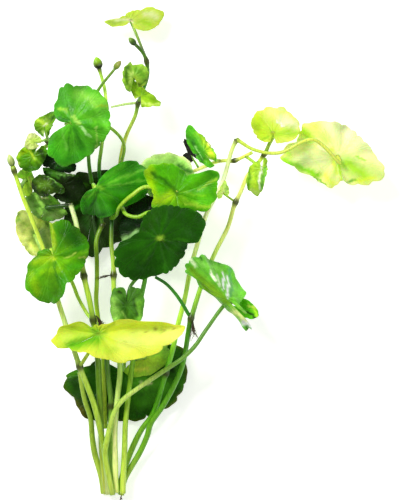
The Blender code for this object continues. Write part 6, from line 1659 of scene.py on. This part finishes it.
class PENNYWORT_OT_stage(bpy.types.Operator):
    """Set up the floor, the lights and the camera that looks straight down"""

    bl_idname = "pennywort.stage"
    bl_label = "Stage"

    def execute(self, context):
        scene = context.scene
        stage, colours = scene.pennywort_stage, scene.pennywort_colours
        # The board glows a little, so that it stays nearly white under the bunch
        material, _, shader = new_material("lit white board", 0.9)
        shader.inputs["Base Color"].default_value = (*colours.floor, 1.0)
        shader.inputs["Emission Color"].default_value = (*colours.floor, 1.0)
        shader.inputs["Emission Strength"].default_value = 0.5
        mesh = bpy.data.meshes.new("floor")
        half = 3.0  # half the board's side, in metres
        corners = [(-half, -half, 0), (half, -half, 0), (half, half, 0), (-half, half, 0)]
        mesh.from_pydata(corners, [], [(0, 1, 2, 3)])
        mesh.materials.append(material)
        floor = bpy.data.objects.new("floor", mesh)
        scene.collection.objects.link(floor)
        for name, place, size, power in (
            ("main light", (-0.7, 0.75, 1.15), 0.5, stage.key_power),
            ("fill light", (1.1, -0.3, 0.9), 0.9, stage.fill_power),
        ):
            lamp = bpy.data.lights.new(name, "AREA")
            lamp.size = size
            lamp.energy = power
            lamp_object = bpy.data.objects.new(name, lamp)
            lamp_object.location = place
            lamp_object.rotation_euler = (-mathutils.Vector(place)).to_track_quat("-Z", "Y").to_euler()
            scene.collection.objects.link(lamp_object)
        world = bpy.data.worlds.new("room")
        world.use_nodes = True
        background = world.node_tree.nodes["Background"]
        background.inputs["Color"].default_value = (1.0, 1.0, 1.0, 1.0)
        background.inputs["Strength"].default_value = stage.sky
        scene.world = world
        camera = bpy.data.cameras.new("camera")
        camera.sensor_fit = "VERTICAL"
        camera.sensor_height = 24.0
        shown_at = 0.02  # the height at which the picture shows stage.picture from top to bottom
        camera.lens = camera.sensor_height * (stage.distance - shown_at) / stage.picture
        camera_object = bpy.data.objects.new("camera", camera)
        middle = (PICTURE_MIDDLE - CENTRE) * TO_METRES
        camera_object.location = (middle[0], middle[1], stage.distance)
        scene.collection.objects.link(camera_object)
        scene.camera = camera_object
        scene.view_settings.view_transform = "Standard"
        return {"FINISHED"}


class PENNYWORT_PT_panel(bpy.types.Panel):
    """The steps that build the bunch, and what can be set"""

    bl_label = "Pennywort bunch"
    bl_idname = "PENNYWORT_PT_panel"
    bl_space_type = "VIEW_3D"
    bl_region_type = "UI"
    bl_category = "Pennywort"

    def draw(self, context):
        for key in GROUPS:
            group = getattr(context.scene, key)
            for name in group.__annotations__:
                self.layout.prop(group, name)
        for step in OPERATORS:
            self.layout.operator(step.bl_idname)


GROUPS = {
    "pennywort_sizes": PennywortSizes,
    "pennywort_colours": PennywortColours,
    "pennywort_stage": PennywortStage,
}
OPERATORS = (
    PENNYWORT_OT_stems,
    PENNYWORT_OT_leaves,
    PENNYWORT_OT_buds,
    PENNYWORT_OT_roots,
    PENNYWORT_OT_stage,
)


def register():
    for kind in (*GROUPS.values(), *OPERATORS, PENNYWORT_PT_panel):
        bpy.utils.register_class(kind)
    for name, kind in GROUPS.items():
        setattr(bpy.types.Scene, name, bpy.props.PointerProperty(type=kind))


def unregister():
    for name in GROUPS:
        delattr(bpy.types.Scene, name)
    for kind in (PENNYWORT_PT_panel, *OPERATORS, *GROUPS.values()):
        bpy.utils.unregister_class(kind)


def main():
    register()
    bpy.ops.pennywort.stems()
    bpy.ops.pennywort.leaves()
    bpy.ops.pennywort.buds()
    bpy.ops.pennywort.roots()
    bpy.ops.pennywort.stage()


if __name__ == "__main__":
    main()
